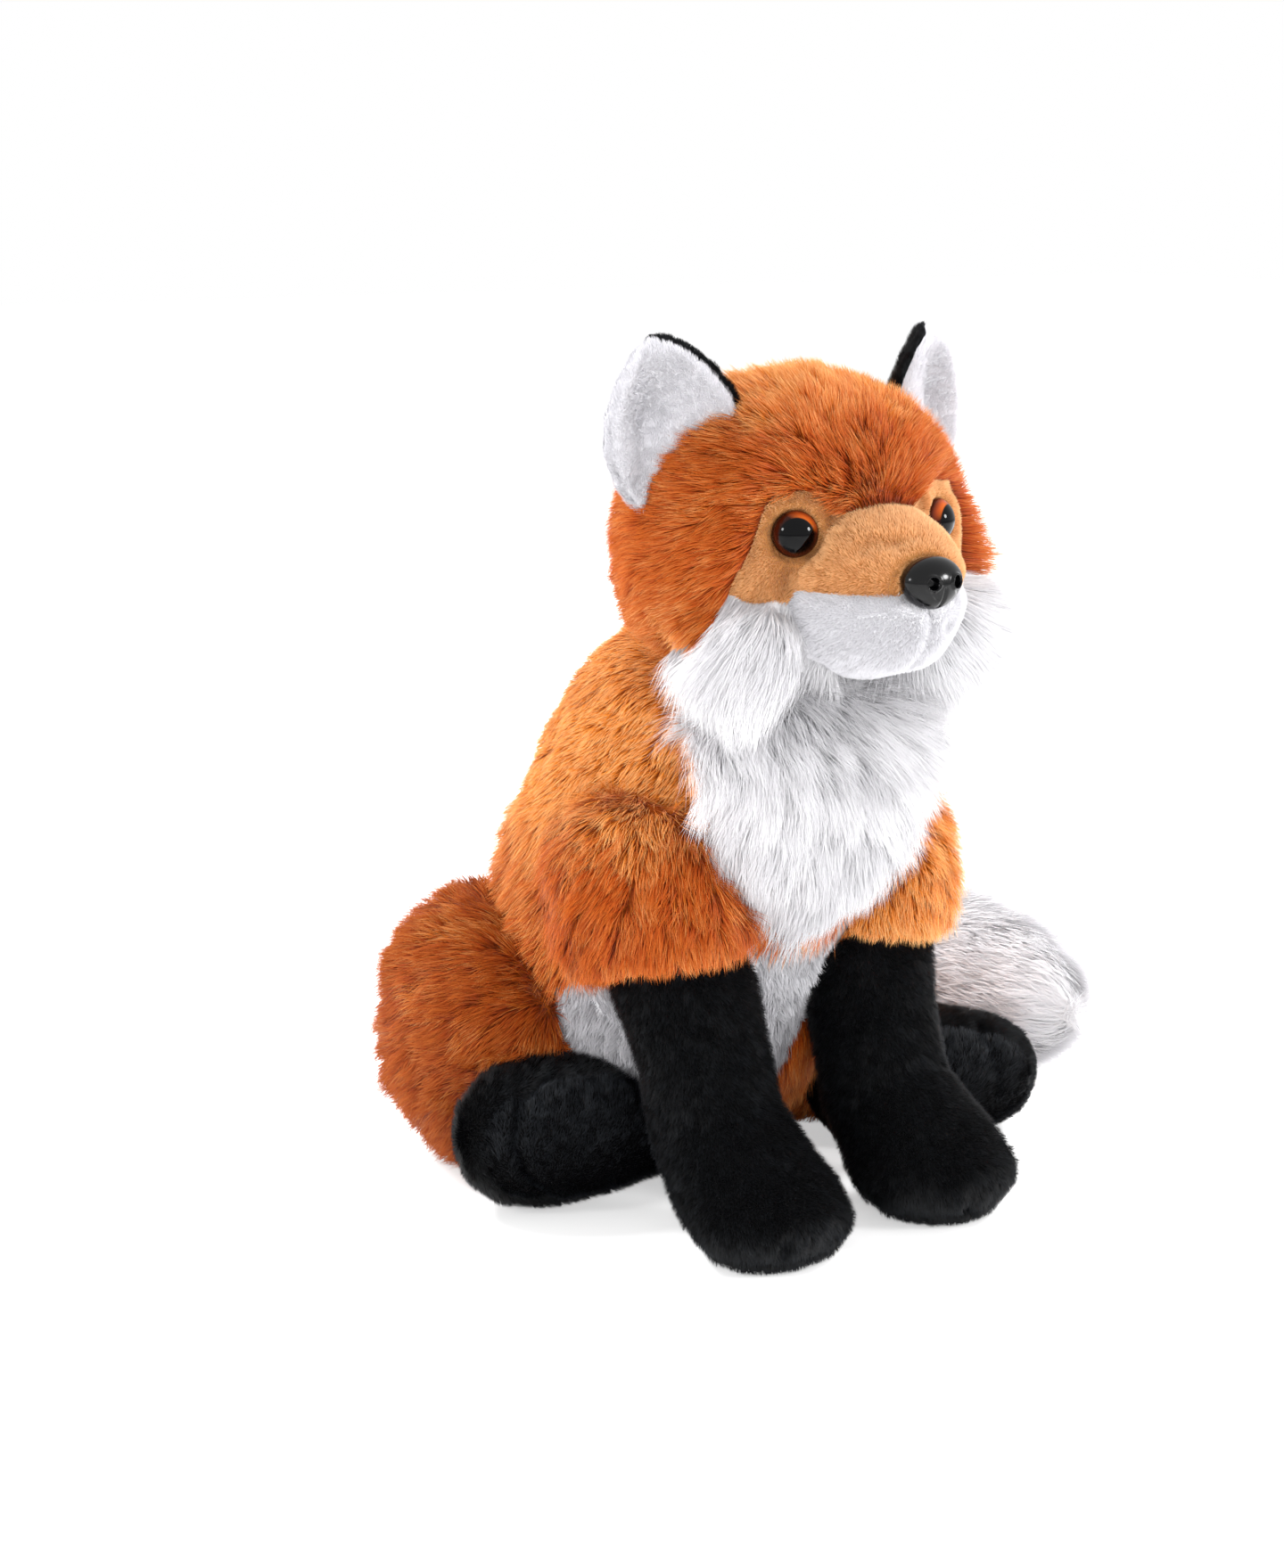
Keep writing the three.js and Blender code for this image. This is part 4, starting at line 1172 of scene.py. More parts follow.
TAIL_PILE = Pile(length=17, per_mm2=2.2, width=0.28, lift=0.5, lay=0.2, tuft=7, ragged=0.3)
TIP_PILE = replace(
    TAIL_PILE, per_mm2=3.2, gather=0.12, tuft_tilt=0.1, sway=0.18, tuft_tint=0.1, strand_tint=0.2
)
BELLY_PILE = Pile(length=6, per_mm2=2.4, width=0.3, lift=0.6, lay=0.3)
PLUSH = Pile(
    length=2.1, per_mm2=8.0, width=0.32, lift=0.75, lay=0.4, spread=0.14, tuft=2.5, gather=0.12,
    tuft_tilt=0.08, sway=0.2, twist=0.25, tuft_tint=0.1, strand_tint=0.24, mottle=0.2
)
BLACK_SHORT = replace(
    PLUSH, length=2.9, per_mm2=5.0, width=0.38, lift=0.65, tuft_tilt=0.12, tuft_tint=0.3, strand_tint=0.35
)
EAR_PLUSH = replace(PLUSH, length=1.9, per_mm2=9.0, width=0.3, tuft_tint=0.04, mottle=0.06)


@dataclass
class Torso:
    """The body's sack, with its back, belly and bib, and the stuffed neck."""

    def build(self, pile_tree: PileTree) -> None:
        """Builds the sack and the neck.

        Args:
            pile_tree: the tree that grows the pile.
        """
        Sack(
            "torso", "torso",
            [
                # painted light and shade: the back's pile is darker low down and brighter towards the neck
                Panel(
                    "back_panel", "orange_long_pile", ORANGE_BACKING, ORANGE_PILE, BODY_PILE,
                    combed(0, 0.55, -1), shade=graded(105, 150, 0.28, 0.97), reach=self.flank,
                    growth=self.back_growth
                ),
                # painted shade: the belly between the legs takes the darkest tones of a darkened white
                # plush
                Panel(
                    "belly_panel", "white_plush", WHITE_BACKING, SHADED_BELLY_PLUSH, BELLY_PILE, combed(0, 0, -1),
                    shade=even(0.0)
                ),
                # painted light and shade: the bib's pile is darkest low on the chest and brightest at the
                # throat
                Panel(
                    "chest_bib", "white_long_pile", WHITE_BACKING, WHITE_PILE, BIB_PILE, self.bib_flow,
                    shade=graded(125, 180, 0.0, 0.97), growth=self.bib_growth, lean=self.bib_lean
                )
            ],
            fillings=("torso_filling",),
            neighbours=(
                "front_sleeve_right", "front_sleeve_left", "front_stocking_right", "front_stocking_left",
                "thigh_right", "thigh_left", "hind_stocking_right", "hind_stocking_left"
            ),
            voxel=4
        ).build(pile_tree, 100)
        neck = Sack("neck", "neck", [], fillings=("neck_filling",), voxel=4)
        made = neck.form()
        neck.stuffing(made)
        drop(made)

    @staticmethod
    def flank(points: np.ndarray) -> np.ndarray:
        """How much further the orange back reaches: down each flank, and low in front of the left hip.

        Args:
            points: places, one row each.

        Returns:
            A reach for each point.
        """
        x, y, z = points.T
        flank = smoothstep(78 * MM, 84 * MM, z) * smoothstep(35 * MM, 45 * MM, abs(x))
        hip = smoothstep(7 * MM, 12 * MM, x) * smoothstep(66 * MM, 59 * MM, z)
        front = smoothstep(-30 * MM, -38 * MM, y)
        return 14 * MM * flank + 50 * MM * (hip * front)

    @staticmethod
    def back_growth(points: np.ndarray) -> np.ndarray:
        """The back's pile is shorter round the neck."""
        return 1 - 0.45 * smoothstep(125 * MM, 160 * MM, points[:, 2])

    @staticmethod
    def bib_growth(points: np.ndarray) -> np.ndarray:
        """The bib's pile is longest at the throat and short low down, but for the lower tip."""
        throat = 0.35 * smoothstep(150 * MM, 180 * MM, points[:, 2])
        return graded(105, 130, 0.6, 1.0)(points) + throat + 0.7 * near_to(points, -6, -100, 104, 12)[:, 0]

    @staticmethod
    def bib_lean(points: np.ndarray, out: np.ndarray) -> np.ndarray:
        """Forwards at the throat, where the bib stands up to meet the cheeks."""
        return smoothstep(150 * MM, 175 * MM, points[:, 2:]) * np.array((0, -0.8, 0.2))

    @staticmethod
    def bib_flow(points: np.ndarray) -> np.ndarray:
        """Down and a little outwards from the middle of the chest.

        Args:
            points: places, one row each.

        Returns:
            The flow at each point.
        """
        flow = np.tile(np.array((0.0, -0.1, -1.0)), (len(points), 1))
        flow[:, 0] = points[:, 0] / (90 * MM)
        return flow


@dataclass
class Head:
    """The head's sack with its snout, eyes and nose."""

    bridge: tuple[float, float, float] = (0, -138, 244)
    facing: float = 28.0
    eye_radius: float = 7.5
    dome: float = 5.2
    rim: float = 1.2
    creases: tuple[Crease, ...] = (
        Crease(((-17, -145, 238.5), (-11, -147, 239.5), (-7, -150, 239)), 2.6, 1.8, (0, -100, 220)),
        Crease(((-7, -150, 239), (1, -150, 242)), 2.0, 1.0, (0, -100, 220)),
        Crease(
            ((-24, -130, 247), (-27, -131, 240), (-30, -128, 234), (-31.5, -125, 226)), 2.0, 2.0,
            (-10, -100, 232)
        ),
        Crease(
            ((24, -130, 247), (27, -131, 240), (30, -128, 234), (31.5, -125, 226)), 2.0, 2.0,
            (10, -100, 232)
        ),
        Crease(((8, -155, 215), (9, -154.5, 213)), 2.4, 1.8, (0, -110, 216)),
        Crease(((1, -157, 219), (3, -155, 211), (2, -152, 203), (-4, -148, 199)), 2.0, 1.6, (0, -110, 216)),
        Crease(((-5, -148, 201), (8, -146, 202)), 9.0, -2.6, (0, -112, 220))
    )

    def build(self, pile_tree: PileTree) -> None:
        """Builds the sack, then the moulded pieces.

        Args:
            pile_tree: the tree that grows the pile.
        """
        radial = away_from(*self.bridge, down=0.15)
        back = combed(0, 1, 0.05)
        # painted light: the eye patches take the brighter tones of the tan plush
        painted_light = even(0.8)
        panels = [
            Panel(
                "head_skin", "orange_long_pile", ORANGE_BACKING, ORANGE_PILE, HEAD_PILE, radial,
                shade=self.painted_coat_light, reach=self.jowl, growth=self.fringe, lean=self.fringe_lean
            ),
            # painted light: the muzzle's top is brighter towards the brow
            Panel(
                "muzzle_top", "tan_plush", TAN_BACKING, TAN_PLUSH, PLUSH, back,
                shade=graded(226, 244, 0.6, 0.97)
            ),
            # painted shade: the chin takes the darkest tones of the white plush
            Panel("muzzle_chin", "white_plush", WHITE_BACKING, WHITE_PLUSH, PLUSH, back, shade=even(0.05))
        ]
        for side in Side:
            patch = "eye_patch_" + side.word
            cheek = "cheek_" + side.word
            panels.append(
                Panel(patch, "tan_plush", TAN_BACKING, TAN_PLUSH, PLUSH, radial, painted_light, self.patch_edge)
            )
            panels.append(
                # painted light and shade: the cheeks' pile is brightest low under the head and darker
                # higher up
                Panel(
                    cheek, "white_long_pile", WHITE_BACKING, WHITE_PILE, CHEEK_PILE,
                    away_from(0, -150, 235, down=1.6), shade=graded(187, 204, 0.97, 0.3), reach=self.throat,
                    growth=self.cheek_growth, lean=self.cheek_lean
                )
            )
        seats = [self.eye_seat(side) for side in Side]
        Sack(
            "head", "head", panels, fillings=("head_filling",),
            neighbours=("nose", "eye_right", "eye_left"), least=0.4, cap=1.0, seam_depth=2.0,
            dents=[self.eye_dent(*seat) for seat in seats] + [self.nose_dent], creases=self.creases
        ).build(pile_tree, 200)
        for side, seat in zip(Side, seats):
            self.eye(side, *seat)
            self.washer("eye_washer_" + side.word)
        self.nose()
        self.washer("nose_washer")

    @staticmethod
    def patch_edge(points: np.ndarray) -> np.ndarray:
        """How much further the eye patches reach: into the pile at their outer edges, most so low down.

        Args:
            points: places, one row each.

        Returns:
            A reach for each point.
        """
        above = smoothstep(219 * MM, 225 * MM, points[:, 2])
        outer = smoothstep(34 * MM, 40 * MM, abs(points[:, 0])) * above
        return outer * graded(222, 240, 5.5 * MM, 2.6 * MM)(points)

    @staticmethod
    def painted_coat_light(points: np.ndarray) -> np.ndarray:
        """Painted light: brighter on the crown, beside the left eye and low on the head.

        Args:
            points: places, one row each.

        Returns:
            A shade for each point.
        """
        low = graded(212, 230, 0.3, 0.0)(points)
        return graded(260, 290, 0.0, 0.75)(points) + low + 0.3 * near_to(points, 58, -102, 223, 16)[:, 0]

    @staticmethod
    def jowl(points: np.ndarray) -> np.ndarray:
        """How much further the orange reaches: forwards on the right jowl, to the cheek's outer edge.

        Args:
            points: places, one row each.

        Returns:
            A reach for each point.
        """
        x, _, z = points.T
        edge = smoothstep(51.5 * MM, 54 * MM, 0.36 * (z - 207 * MM) - x)
        return 14 * MM * edge * smoothstep(203 * MM, 206 * MM, z)

    @staticmethod
    def fringe(points: np.ndarray) -> np.ndarray:
        """The head's pile is long where it stands out beside the left eye."""
        return 1 + 1.3 * near_to(points, 58, -102, 223, 16)[:, 0]

    @staticmethod
    def fringe_lean(points: np.ndarray, out: np.ndarray) -> np.ndarray:
        """Outwards beside the left eye."""
        return near_to(points, 58, -102, 223, 16) * np.array((3.6, -1.4, -0.2))

    @staticmethod
    def cheek_growth(points: np.ndarray) -> np.ndarray:
        """The cheeks' pile is longer under the head and where it stands out on the left.

        Args:
            points: places, one row each.

        Returns:
            A share of the length for each point.
        """
        low = smoothstep(204 * MM, 192 * MM, points[:, 2])
        return 1 + 0.15 * low + 0.4 * near_to(points, 54, -108, 208, 20)[:, 0]

    @staticmethod
    def cheek_lean(points: np.ndarray, out: np.ndarray) -> np.ndarray:
        """Down and forwards where the cloth faces the floor, and outwards on the left cheek.

        Args:
            points: places, one row each.
            out: the normals there.

        Returns:
            A lean for each point.
        """
        down = np.clip(-out[:, 2:], 0, 1) * np.array((0, -0.4, -0.6))
        return down + near_to(points, 54, -108, 208, 20) * np.array((2.6, -1.4, 0.3))

    @staticmethod
    def throat(points: np.ndarray) -> np.ndarray:
        """How much further the cheeks' long pile reaches: over the throat, back to the bib.

        Args:
            points: places, one row each.

        Returns:
            A reach for each point.
        """
        low = smoothstep(206 * MM, 200 * MM, points[:, 2])
        ahead_of_neck = 40 * MM * low * smoothstep(-70 * MM, -85 * MM, points[:, 1])
        return ahead_of_neck * smoothstep(-124 * MM, -116 * MM, points[:, 1])

    def eye_seat(self, side: Side) -> tuple[Vector, Vector]:
        """The middle of an eye's rim plane and the way that the eye looks.

        Args:
            side: the eye's side.

        Returns:
            The middle and the way.
        """
        turn = math.radians(self.facing)
        way = Vector((side.value * math.sin(turn), -math.cos(turn), 0))
        front = max((v.co for v in NODES["eye_" + side.word].data.vertices), key=lambda co: co.dot(way))
        return front - way * self.dome * MM, way

    def eye_dent(self, seat: Vector, way: Vector) -> Field:
        """Presses the face in behind an eye, so that the eye sits in its plush.

        Args:
            seat: the middle of the eye's rim plane.
            way: the way that it looks.

        Returns:
            The function that presses.
        """

        def press(points: np.ndarray) -> np.ndarray:
            """Moves the points in front of the eye's seat back behind it."""
            apart = points - np.array(seat)
            height = apart @ np.array(way)
            out = np.linalg.norm(apart - height[:, None] * np.array(way), axis=1)
            near = (out < (self.eye_radius + 3) * MM) & (abs(height) < 15 * MM)
            edge = smoothstep(self.eye_radius * MM, (self.eye_radius + 3) * MM, out)
            most = (-self.rim - 0.8) * MM * (1 - edge) + 3 * MM * edge
            cut = np.where(near, np.maximum(height - most, 0), 0)
            return points - cut[:, None] * np.array(way)

        return press

    @staticmethod
    def nose_dent(points: np.ndarray) -> np.ndarray:
        """Presses the snout's tip in behind the nose, and a crease below it.

        Args:
            points: places, one row each.

        Returns:
            The moved places.
        """
        low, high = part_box("nose")
        middle = np.array((low + high) / 2)
        share = (points - middle) / np.array((9.5 * MM, 1, 7 * MM))
        out = np.hypot(share[:, 0], share[:, 2])
        inside = (out < 1) & (points[:, 1] < -130 * MM)
        points = points.copy()
        points[inside, 1] = np.maximum(points[inside, 1], low.y + 6 * MM)
        crease = np.exp(-((points[:, 0] / (1.3 * MM)) ** 2))
        below = smoothstep(224 * MM, 218 * MM, points[:, 2]) * smoothstep(196 * MM, 202 * MM, points[:, 2])
        front = smoothstep(-135 * MM, -148 * MM, points[:, 1])
        points[:, 1] += 1.6 * MM * crease * below * front
        return points

    def eye(self, side: Side, seat: Vector, way: Vector) -> None:
        """A moulded eye: a polished dome on a rim, with a shank behind it.

        Args:
            side: the eye's side.
            seat: the middle of its rim plane.
            way: the way that it looks.
        """
        rise, radius = self.dome, self.eye_radius
        arc = (radius**2 + rise**2) / (2 * rise)
        spread = math.asin(radius / arc)
        profile = [(0.0, -self.rim), (radius - 0.3, -self.rim), (radius, -self.rim + 0.3)]
        for i in range(19):
            angle = spread * (1 - i / 19)
            profile.append((arc * math.sin(angle), arc * math.cos(angle) - arc + rise))
        profile.append((0.0, rise))
        turns = 56
        points, faces = [(0, 0, profile[0][1])], []
        for out, up in profile[1:-1]:
            for k in range(turns):
                angle = 2 * math.pi * k / turns
                points.append((out * math.cos(angle), out * math.sin(angle), up))
        points.append((0, 0, rise))
        rows = len(profile) - 2
        for k in range(turns):
            n = (k + 1) % turns
            faces.append((0, 1 + n, 1 + k))
            for r in range(rows - 1):
                low, high = 1 + r * turns, 1 + (r + 1) * turns
                faces.append((low + k, low + n, high + n, high + k))
            last = 1 + (rows - 1) * turns
            faces.append((last + k, last + n, len(points) - 1))
        mesh = new_mesh("eye_" + side.word + "_dome", np.array(points) * MM, faces)
        across = Vector((0, 0, 1)).cross(way).normalized()
        turn = Matrix((across, Vector((0, 0, 1)), way)).transposed().to_4x4()
        uv = mesh.uv_layers.new(name=EYE_MAP)
        flat = np.zeros(len(mesh.loops), int)
        mesh.loops.foreach_get("vertex_index", flat)
        local = places(mesh)[flat]
        lit = (-0.5 * side.value * local[:, 0] + 0.87 * local[:, 1]) / (2 * radius * MM) + 0.5
        shares = np.stack([np.hypot(local[:, 0], local[:, 1]) / (radius * MM), lit], 1)
        uv.data.foreach_set("uv", shares.astype(np.float32).ravel())
        mesh.transform(Matrix.Translation(seat) @ turn)
        made = new_object(mesh.name, mesh)
        dress(made, EyeFinish(), "head")
        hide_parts("eye_" + side.word)

    def nose(self) -> None:
        """The moulded nose: a soft triangle with two rimmed nostrils and a groove."""
        low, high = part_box("nose")
        middle = (low + high) / 2
        front = low.y
        half = np.array((11.2, 7.5, 8.4))
        work = bmesh.new()
        bmesh.ops.create_uvsphere(work, u_segments=112, v_segments=80, radius=1)
        mesh = bpy.data.meshes.new("nose_moulding")
        work.to_mesh(mesh)
        work.free()
        points = places(mesh)[:, [0, 2, 1]] * np.array((1, -1, 1))
        # wide above and narrower below
        points[:, 0] *= 1 - 0.16 * smoothstep(0.3, -1.0, points[:, 2])
        points *= half
        ahead = -points[:, 1]
        facing = smoothstep(0.5, 3.0, ahead)
        for s in (-1, 1):
            out = np.hypot(points[:, 0] - s * 4.7, points[:, 2] - 0.8)
            rim = np.exp(-(((out - 2.3) / 0.45) ** 2)) * 0.95
            pit = -2.2 * smoothstep(2.1, 1.2, out)
            slit = np.abs((points[:, 0] - s * 5.0) * 0.5 + s * (points[:, 2] + 1.8) * 0.5 * s)
            cut = -0.5 * np.exp(-((slit / 0.35) ** 2)) * smoothstep(-0.8, -1.8, points[:, 2])
            cut = cut * smoothstep(-5.2, -4.2, points[:, 2])
            points[:, 1] -= facing * (rim + pit + cut * (points[:, 0] * s > 1.5))
        groove = np.exp(-((points[:, 0] / 0.5) ** 2)) * smoothstep(-0.6, -1.6, points[:, 2])
        points[:, 1] += facing * 0.9 * groove
        points = points * MM + np.array((middle.x, front + half[1] * MM, middle.z))
        put_places(mesh, points)
        made = new_object("nose_moulding", mesh)
        work = bmesh.new()
        work.from_mesh(mesh)
        bmesh.ops.recalc_face_normals(work, faces=work.faces)
        work.to_mesh(mesh)
        work.free()
        dress(made, NOSE_PLASTIC, "head")
        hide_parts("nose")

    @staticmethod
    def washer(node: str) -> None:
        """Gives a washer, which stays as it is, its finish."""
        NODES[node].data.materials.clear()
        NODES[node].data.materials.append(Finishes.of(WASHER_PLASTIC))


@dataclass
class Ear:
    """A cupped ear: black behind and white in front."""

    side: Side

    def build(self, pile_tree: PileTree) -> None:
        """Builds both panels of the ear.

        Args:
            pile_tree: the tree that grows the pile.
        """
        word = self.side.word
        s = self.side.value
        up = combed(s * 0.25, -0.1, 1)
        Sack(
            "ear_" + word, "ear_" + word,
            [
                Panel("ear_back_" + word, "ear_black_plush", BLACK_BACKING, BLACK_PLUSH, EAR_PLUSH, up),
                # painted light: the lining takes the brightest tones of the white plush, most so towards
                # the tip
                Panel(
                    "ear_lining_" + word, "ear_white_plush", WHITE_BACKING, WHITE_PLUSH, EAR_PLUSH, up,
                    shade=graded(250, 275, 0.8, 0.95), reach=self.rim
                )
            ],
            voxel=1.6, pressure=0, shell=0.8, cap=0.3, seam_depth=0.2,
            creases=(
                Crease(((s * 56, -86, 284), (s * 57, -85, 278)), 8.5, 3.8, (s * 40, 400, 284)),
                Crease(((s * 57, -85, 278), (s * 61, -83, 256)), 5.0, 2.6, (s * 40, 400, 266))
            )
        ).build(pile_tree, 300 + 10 * self.side.value)

    def rim(self, points: np.ndarray) -> np.ndarray:
        """How much further the lining reaches: over the rim on the outer side.

        Args:
            points: places, one row each.

        Returns:
            A reach for each point.
        """
        out = points[:, 0] * self.side.value - (43 * MM + (points[:, 2] - 250 * MM) * 0.22)
        inner = (1.6 if self.side is Side.LEFT else -0.7) * MM
        return 3.5 * MM * smoothstep(-2 * MM, 6 * MM, out) + inner * smoothstep(2 * MM, -4 * MM, out)


@dataclass
class FrontLeg:
    """A front leg: an orange sleeve, a black stocking and its sole, with creases between its toes."""

    side: Side
    # painted light and shade: the right sleeve is dark low down and bright above, the left sleeve bright
    # all over
    shades: ClassVar[dict[Side, Field]] = {
        Side.RIGHT: graded(125, 150, 0.0, 0.9), Side.LEFT: graded(80, 120, 0.9, 0.97)
    }
    creases: ClassVar[dict[Side, tuple[Crease, ...]]] = {
        Side.RIGHT: (
            Crease(((-57, -138, 5), (-24, -142, 5)), 10.0, 3.2, (-38, -100, 14)),
            Crease(((-19, -125, 15), (-17, -112, 15)), 9.0, -3.0, (-40, -115, 16)),
            Crease(((-42.5, -145, 2), (-42.5, -142, 9), (-42.8, -142, 15)), 1.8, 3.0, (-40, -105, 10)),
            Crease(((-22.5, -146, 3), (-22.5, -142, 11), (-24.5, -142, 16)), 1.8, 2.4, (-38, -105, 10))
        ),
        Side.LEFT: (
            Crease(((18, -136, 5), (54, -138, 5)), 10.0, 3.2, (37, -100, 14)),
            Crease(((12, -128, 10), (11, -114, 12)), 9.0, -3.4, (38, -115, 14)),
            Crease(((36, -146, 2), (36, -142, 8), (34.5, -142, 14)), 1.8, 3.0, (36, -105, 10)),
            Crease(((46, -146, 2), (46, -142, 8), (44, -142, 14)), 1.6, 2.2, (38, -105, 10))
        )
    }

    def build(self, pile_tree: PileTree) -> None:
        """Builds the leg's sack.

        Args:
            pile_tree: the tree that grows the pile.
        """
        word = self.side.word
        down = combed(0, -0.25, -1)
        Sack(
            "front_leg_" + word, "front_leg_" + word,
            [
                Panel(
                    "front_sleeve_" + word, "orange_long_pile", ORANGE_BACKING, ORANGE_PILE, LIMB_PILE,
                    combed(0, 0.1, -1), shade=self.shades[self.side], clipped_at=("front_stocking_" + word,)
                ),
                Panel(
                    "front_stocking_" + word, "black_plush", BLACK_BACKING, BLACK_PLUSH, BLACK_SHORT, down,
                    shade=graded(16, 7, 0.5, 0.95)
                ),
                Panel("front_sole_" + word, "black_plush", BLACK_BACKING, BLACK_PLUSH, BLACK_SHORT, down)
            ],
            fillings=("front_filling_" + word,), neighbours=("back_panel", "chest_bib"),
            creases=self.creases[self.side]
        ).build(pile_tree, 400 + 10 * self.side.value)


@dataclass
class HindLeg:
    """A hind leg: an orange thigh, a black stocking and its sole."""

    side: Side
    turn: float = 76.0
    # painted shade: the right thigh takes the darkest tones, the left thigh middling ones that rise with
    # height
    shades: ClassVar[dict[Side, Field]] = {
        Side.RIGHT: graded(30, 95, -0.15, 0.0), Side.LEFT: graded(0, 60, 0.3, 0.5)
    }
    creases: ClassVar[dict[Side, tuple[Crease, ...]]] = {
        Side.RIGHT: (
            Crease(
                (
                    (-77, -50, 50), (-87.4, -51.7, 43), (-92.6, -54.2, 29), (-87.8, -54.7, 17),
                    (-76.5, -53.8, 7)
                ),
                1.8, 2.8, (-70, -20, 28)
            ),
            Crease(((-46.5, -59, 49), (-46.3, -61.4, 46), (-46.8, -66, 39)), 1.8, 1.8, (-60, -30, 28))
        ),
        Side.LEFT: (
            Crease(
                ((98, -66, 43), (98.5, -75, 40), (100, -81, 31), (102, -82, 17)), 1.8, 1.8, (100, -50, 25)
            ),
        )
    }

    def build(self, pile_tree: PileTree) -> None:
        """Builds the leg's sack.

        Args:
            pile_tree: the tree that grows the pile.
        """
        word = self.side.word
        ahead = (math.sin(math.radians(self.turn)), -math.cos(math.radians(self.turn)))
        Sack(
            "hind_leg_" + word, "hind_leg_" + word,
            [
                Panel(
                    "thigh_" + word, "orange_long_pile", ORANGE_BACKING, SHADED_THIGH_PILE, LIMB_PILE,
                    combed(0, 0.8, -0.6), shade=self.shades[self.side],
                    clipped_at=("hind_stocking_" + word, "hind_sole_" + word)
                ),
                Panel(
                    "hind_stocking_" + word, "black_plush", BLACK_BACKING, BLACK_PLUSH, BLACK_SHORT,
                    combed(*ahead, 0)
                ),
                # painted light: the soles take the brightest tones of a brightened black plush
                Panel(
                    "hind_sole_" + word, "black_plush", BLACK_BACKING, LIT_SOLE_PLUSH, BLACK_SHORT,
                    combed(0, 0, 1), shade=even(0.9)
                )
            ],
            creases=self.creases[self.side], fillings=("hind_filling_" + word,),
            neighbours=("back_panel", "belly_panel")
        ).build(pile_tree, 500 + 10 * self.side.value)


@dataclass
class Tail:
    """The bushy tail, orange with a white tip, swept round the left side."""

    root: tuple[float, float, float] = (0, 42, 29.4)
    side: float = 166
    back: float = 52
    sweep_shares: tuple = ((0, 0), (0.22, 0.76), (0.56, 1), (0.86, 0.38), (0.99, -0.62), (1, -1.69))

    def spine(self) -> np.ndarray:
        """Points along the middle of the tail, close together.

        Returns:
            The points, one row each.
        """
        shares = np.array(self.sweep_shares) * np.array((self.side, self.back)) + np.array(self.root[:2])
        knots = np.vstack([2 * shares[0] - shares[1], shares, 2 * shares[-1] - shares[-2]])
        places_along = []
        for i in range(1, len(knots) - 2):
            p0, p1, p2, p3 = knots[i - 1 : i + 3]
            for t in np.linspace(0, 1, 24, endpoint=False):
                square = (2 * p0 - 5 * p1 + 4 * p2 - p3) * t**2
                cube = (3 * p1 - p0 - 3 * p2 + p3) * t**3
                places_along.append(0.5 * (2 * p1 + (p2 - p0) * t + square + cube))
        flat = np.array([*places_along, shares[-1]])
        return np.column_stack([flat, np.full(len(flat), self.root[2])]) * MM

    def flow(self, points: np.ndarray) -> np.ndarray:
        """Along the tail towards its tip.

        Args:
            points: places, one row each.

        Returns:
            The flow at each point.
        """
        spine = self.spine()
        ways = unit(np.gradient(spine, axis=0))
        tree = KDTree(len(spine))
        for i, place in enumerate(spine):
            tree.insert(place, i)
        tree.balance()
        return ways[[tree.find(p)[1] for p in points]]

    def build(self, pile_tree: PileTree) -> None:
        """Builds the tail's sack.

        Args:
            pile_tree: the tree that grows the pile.
        """
        Sack(
            "tail", "tail",
            [
                Panel(
                    "tail_skin", "orange_long_pile", ORANGE_BACKING, ORANGE_PILE, TAIL_PILE, self.flow,
                    shade=even(0.62)
                ),
                # painted light: the tail's tip takes the brightest tones of the white pile
                Panel(
                    "tail_tip", "white_long_pile", WHITE_BACKING, WHITE_PILE, TIP_PILE, self.flow,
                    shade=even(0.95)
                )
            ],
            fillings=("tail_filling",), neighbours=("back_panel",), voxel=4
        ).build(pile_tree, 600)


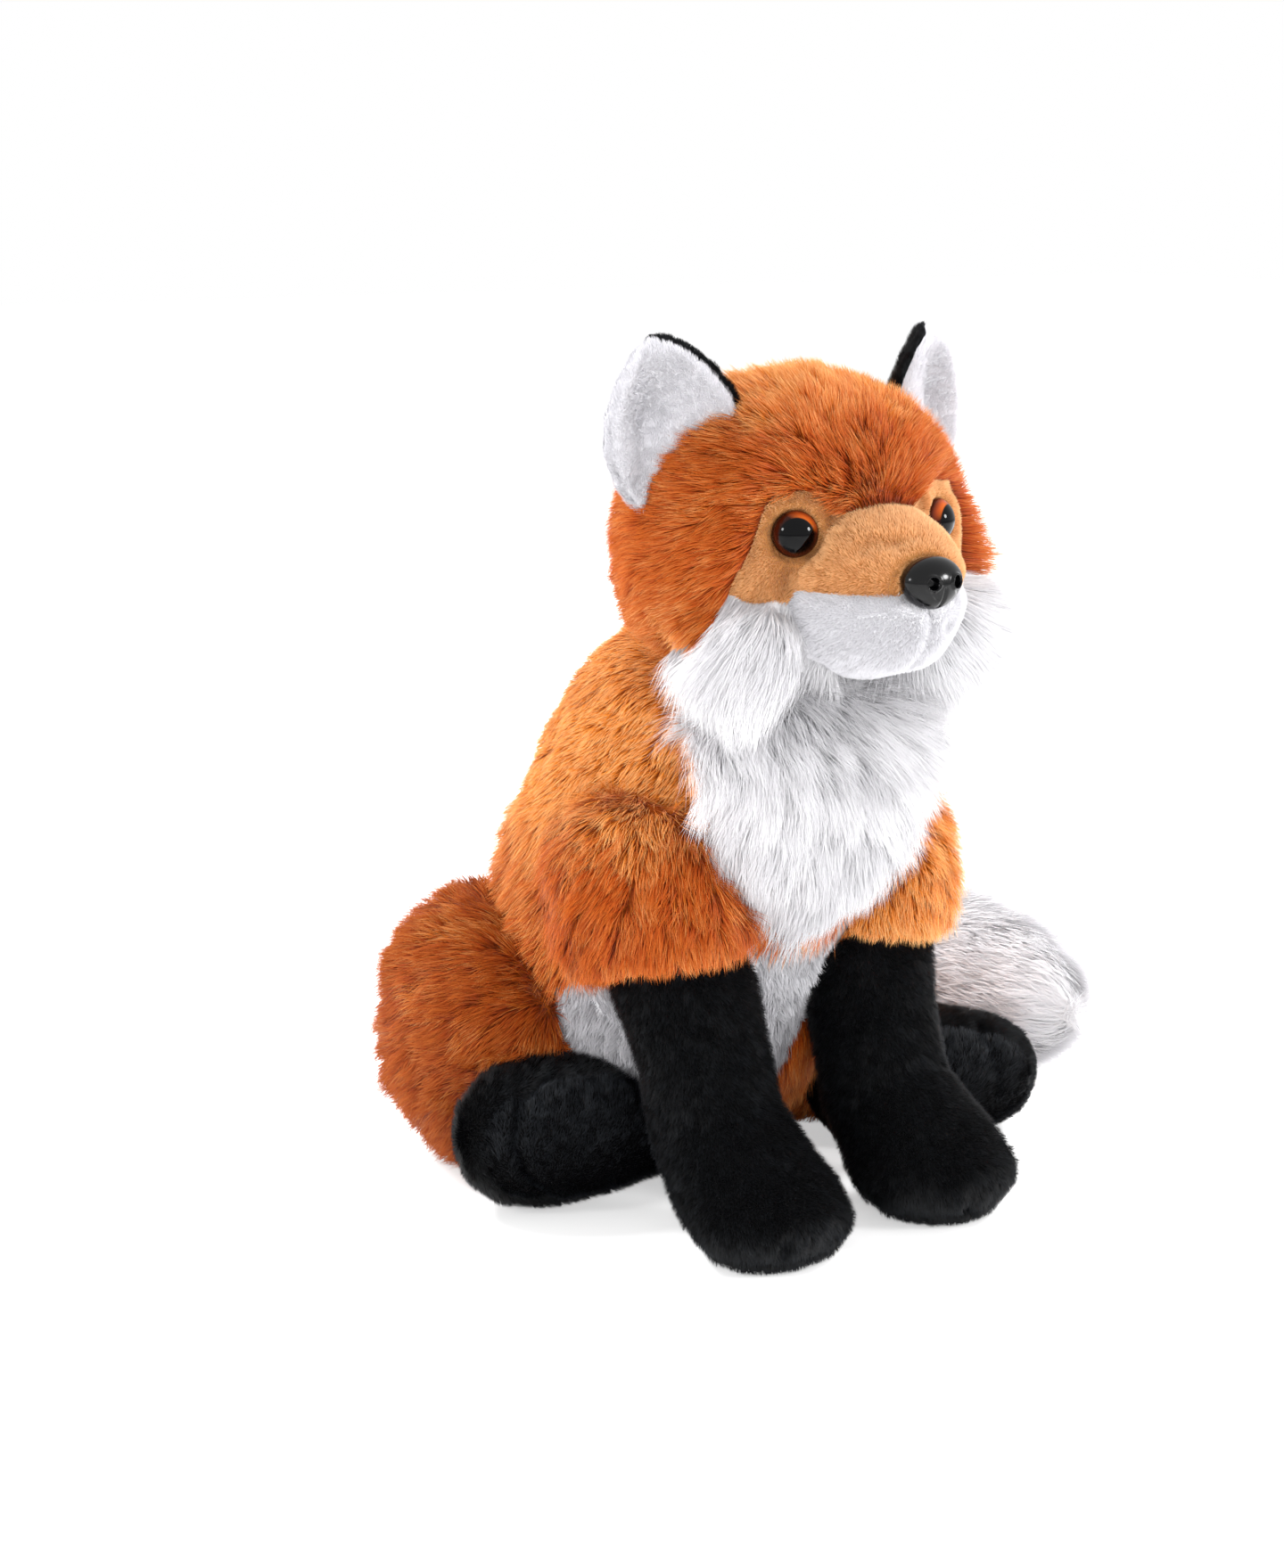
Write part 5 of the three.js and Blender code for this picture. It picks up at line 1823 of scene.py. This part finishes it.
@dataclass
class Studio:
    """A white sweep, a ring of round soft boxes and the camera of the photograph."""

    place: tuple[float, float, float] = (-0.5361, -0.7902, 0.3547)
    ahead: tuple[float, float, float] = (0.5449, 0.8078, -0.2250)
    lens: float = 61.4
    sky: float = 0.66
    boxes: tuple = (
        ("left_box", (-1.5, -0.05, 0.75), 0.3, 6.0), ("right_box", (0.95, -1.3, 0.7), 0.36, 12.0),
        ("front_box", (-0.65, -1.4, 0.24), 1.1, 12.0), ("back_left_box", (-0.6, 1.0, 1.5), 0.8, 38.0),
        ("back_right_box", (1.45, 0.1, 1.1), 0.8, 40.0)
    )

    def build(self) -> None:
        """Builds the stage."""
        self.camera()
        self.floor()
        self.light()

    def camera(self) -> None:
        """Stands the camera where the photograph was taken from."""
        data = bpy.data.cameras.new("camera")
        data.lens = self.lens
        data.sensor_width = 36
        data.clip_start = 0.01
        data.clip_end = 50
        made = bpy.data.objects.new("camera", data)
        bpy.context.scene.collection.objects.link(made)
        made.location = self.place
        made.rotation_mode = "QUATERNION"
        made.rotation_quaternion = Vector(self.ahead).to_track_quat("-Z", "Y")
        bpy.context.scene.camera = made

    @staticmethod
    def floor() -> None:
        """Lays a wide white floor, which the camera sees as the white of the background."""
        half = 6.0
        mesh = new_mesh(
            "floor", np.array([(-half, -half, 0), (half, -half, 0), (half, half, 0), (-half, half, 0)]),
            [(0, 1, 2, 3)]
        )
        material, tree = new_material("white_sweep")
        paper = add(tree, "ShaderNodeBsdfDiffuse", {"Color": linear("#F4F4F4")})[0]
        ray = add(tree, "ShaderNodeLightPath", {})[0]
        glow = add(tree, "ShaderNodeEmission", {"Color": linear("#FFFFFF"), "Strength": 0.5})[0]
        none = add(tree, "ShaderNodeEmission", {"Strength": 0.0})[0]
        seen = add(tree, "ShaderNodeMixShader", {0: ray, 1: none, 2: glow})[0]
        both = add(tree, "ShaderNodeAddShader", {0: paper, 1: seen})[0]
        add(tree, "ShaderNodeOutputMaterial", {"Surface": both})
        mesh.materials.append(material)
        new_object("floor", mesh)

    def light(self) -> None:
        """Sets the soft boxes and the sky."""
        scene = bpy.context.scene
        for name, place, size, power in self.boxes:
            data = bpy.data.lights.new(name, "AREA")
            data.shape = "DISK"
            data.size = size
            data.energy = power
            made = bpy.data.objects.new(name, data)
            scene.collection.objects.link(made)
            made.location = place
            # broad reflections would hide the black of the pupils and the nose
            made.visible_glossy = size < 0.5
            made.rotation_mode = "QUATERNION"
            made.rotation_quaternion = (Vector((0, 0, 0.14)) - Vector(place)).to_track_quat("-Z", "Y")
        world = bpy.data.worlds.new("sky")
        scene.world = world
        world.use_nodes = True
        tree = world.node_tree
        tree.nodes.clear()
        rays = add(tree, "ShaderNodeLightPath", {})
        seen = add(tree, "ShaderNodeMath", {0: rays[0], 1: rays[3]}, operation="MAXIMUM")[0]
        strength = add(tree, "ShaderNodeMapRange", {"Value": seen, "To Min": self.sky, "To Max": 1.0})[0]
        white = add(tree, "ShaderNodeBackground", {"Color": (1, 1, 1, 1), "Strength": strength})[0]
        add(tree, "ShaderNodeOutputWorld", {"Surface": white})
        scene.view_settings.view_transform = "Standard"


def main() -> None:
    """Builds the fox and its stage."""
    logging.basicConfig(level=logging.INFO, format="%(message)s")
    pile_tree = PileTree()
    Torso().build(pile_tree)
    Head().build(pile_tree)
    Tail().build(pile_tree)
    for side in Side:
        Ear(side).build(pile_tree)
        FrontLeg(side).build(pile_tree)
        HindLeg(side).build(pile_tree)
    pile_tree.clear()
    Studio().build()


if __name__ == "__main__":
    main()
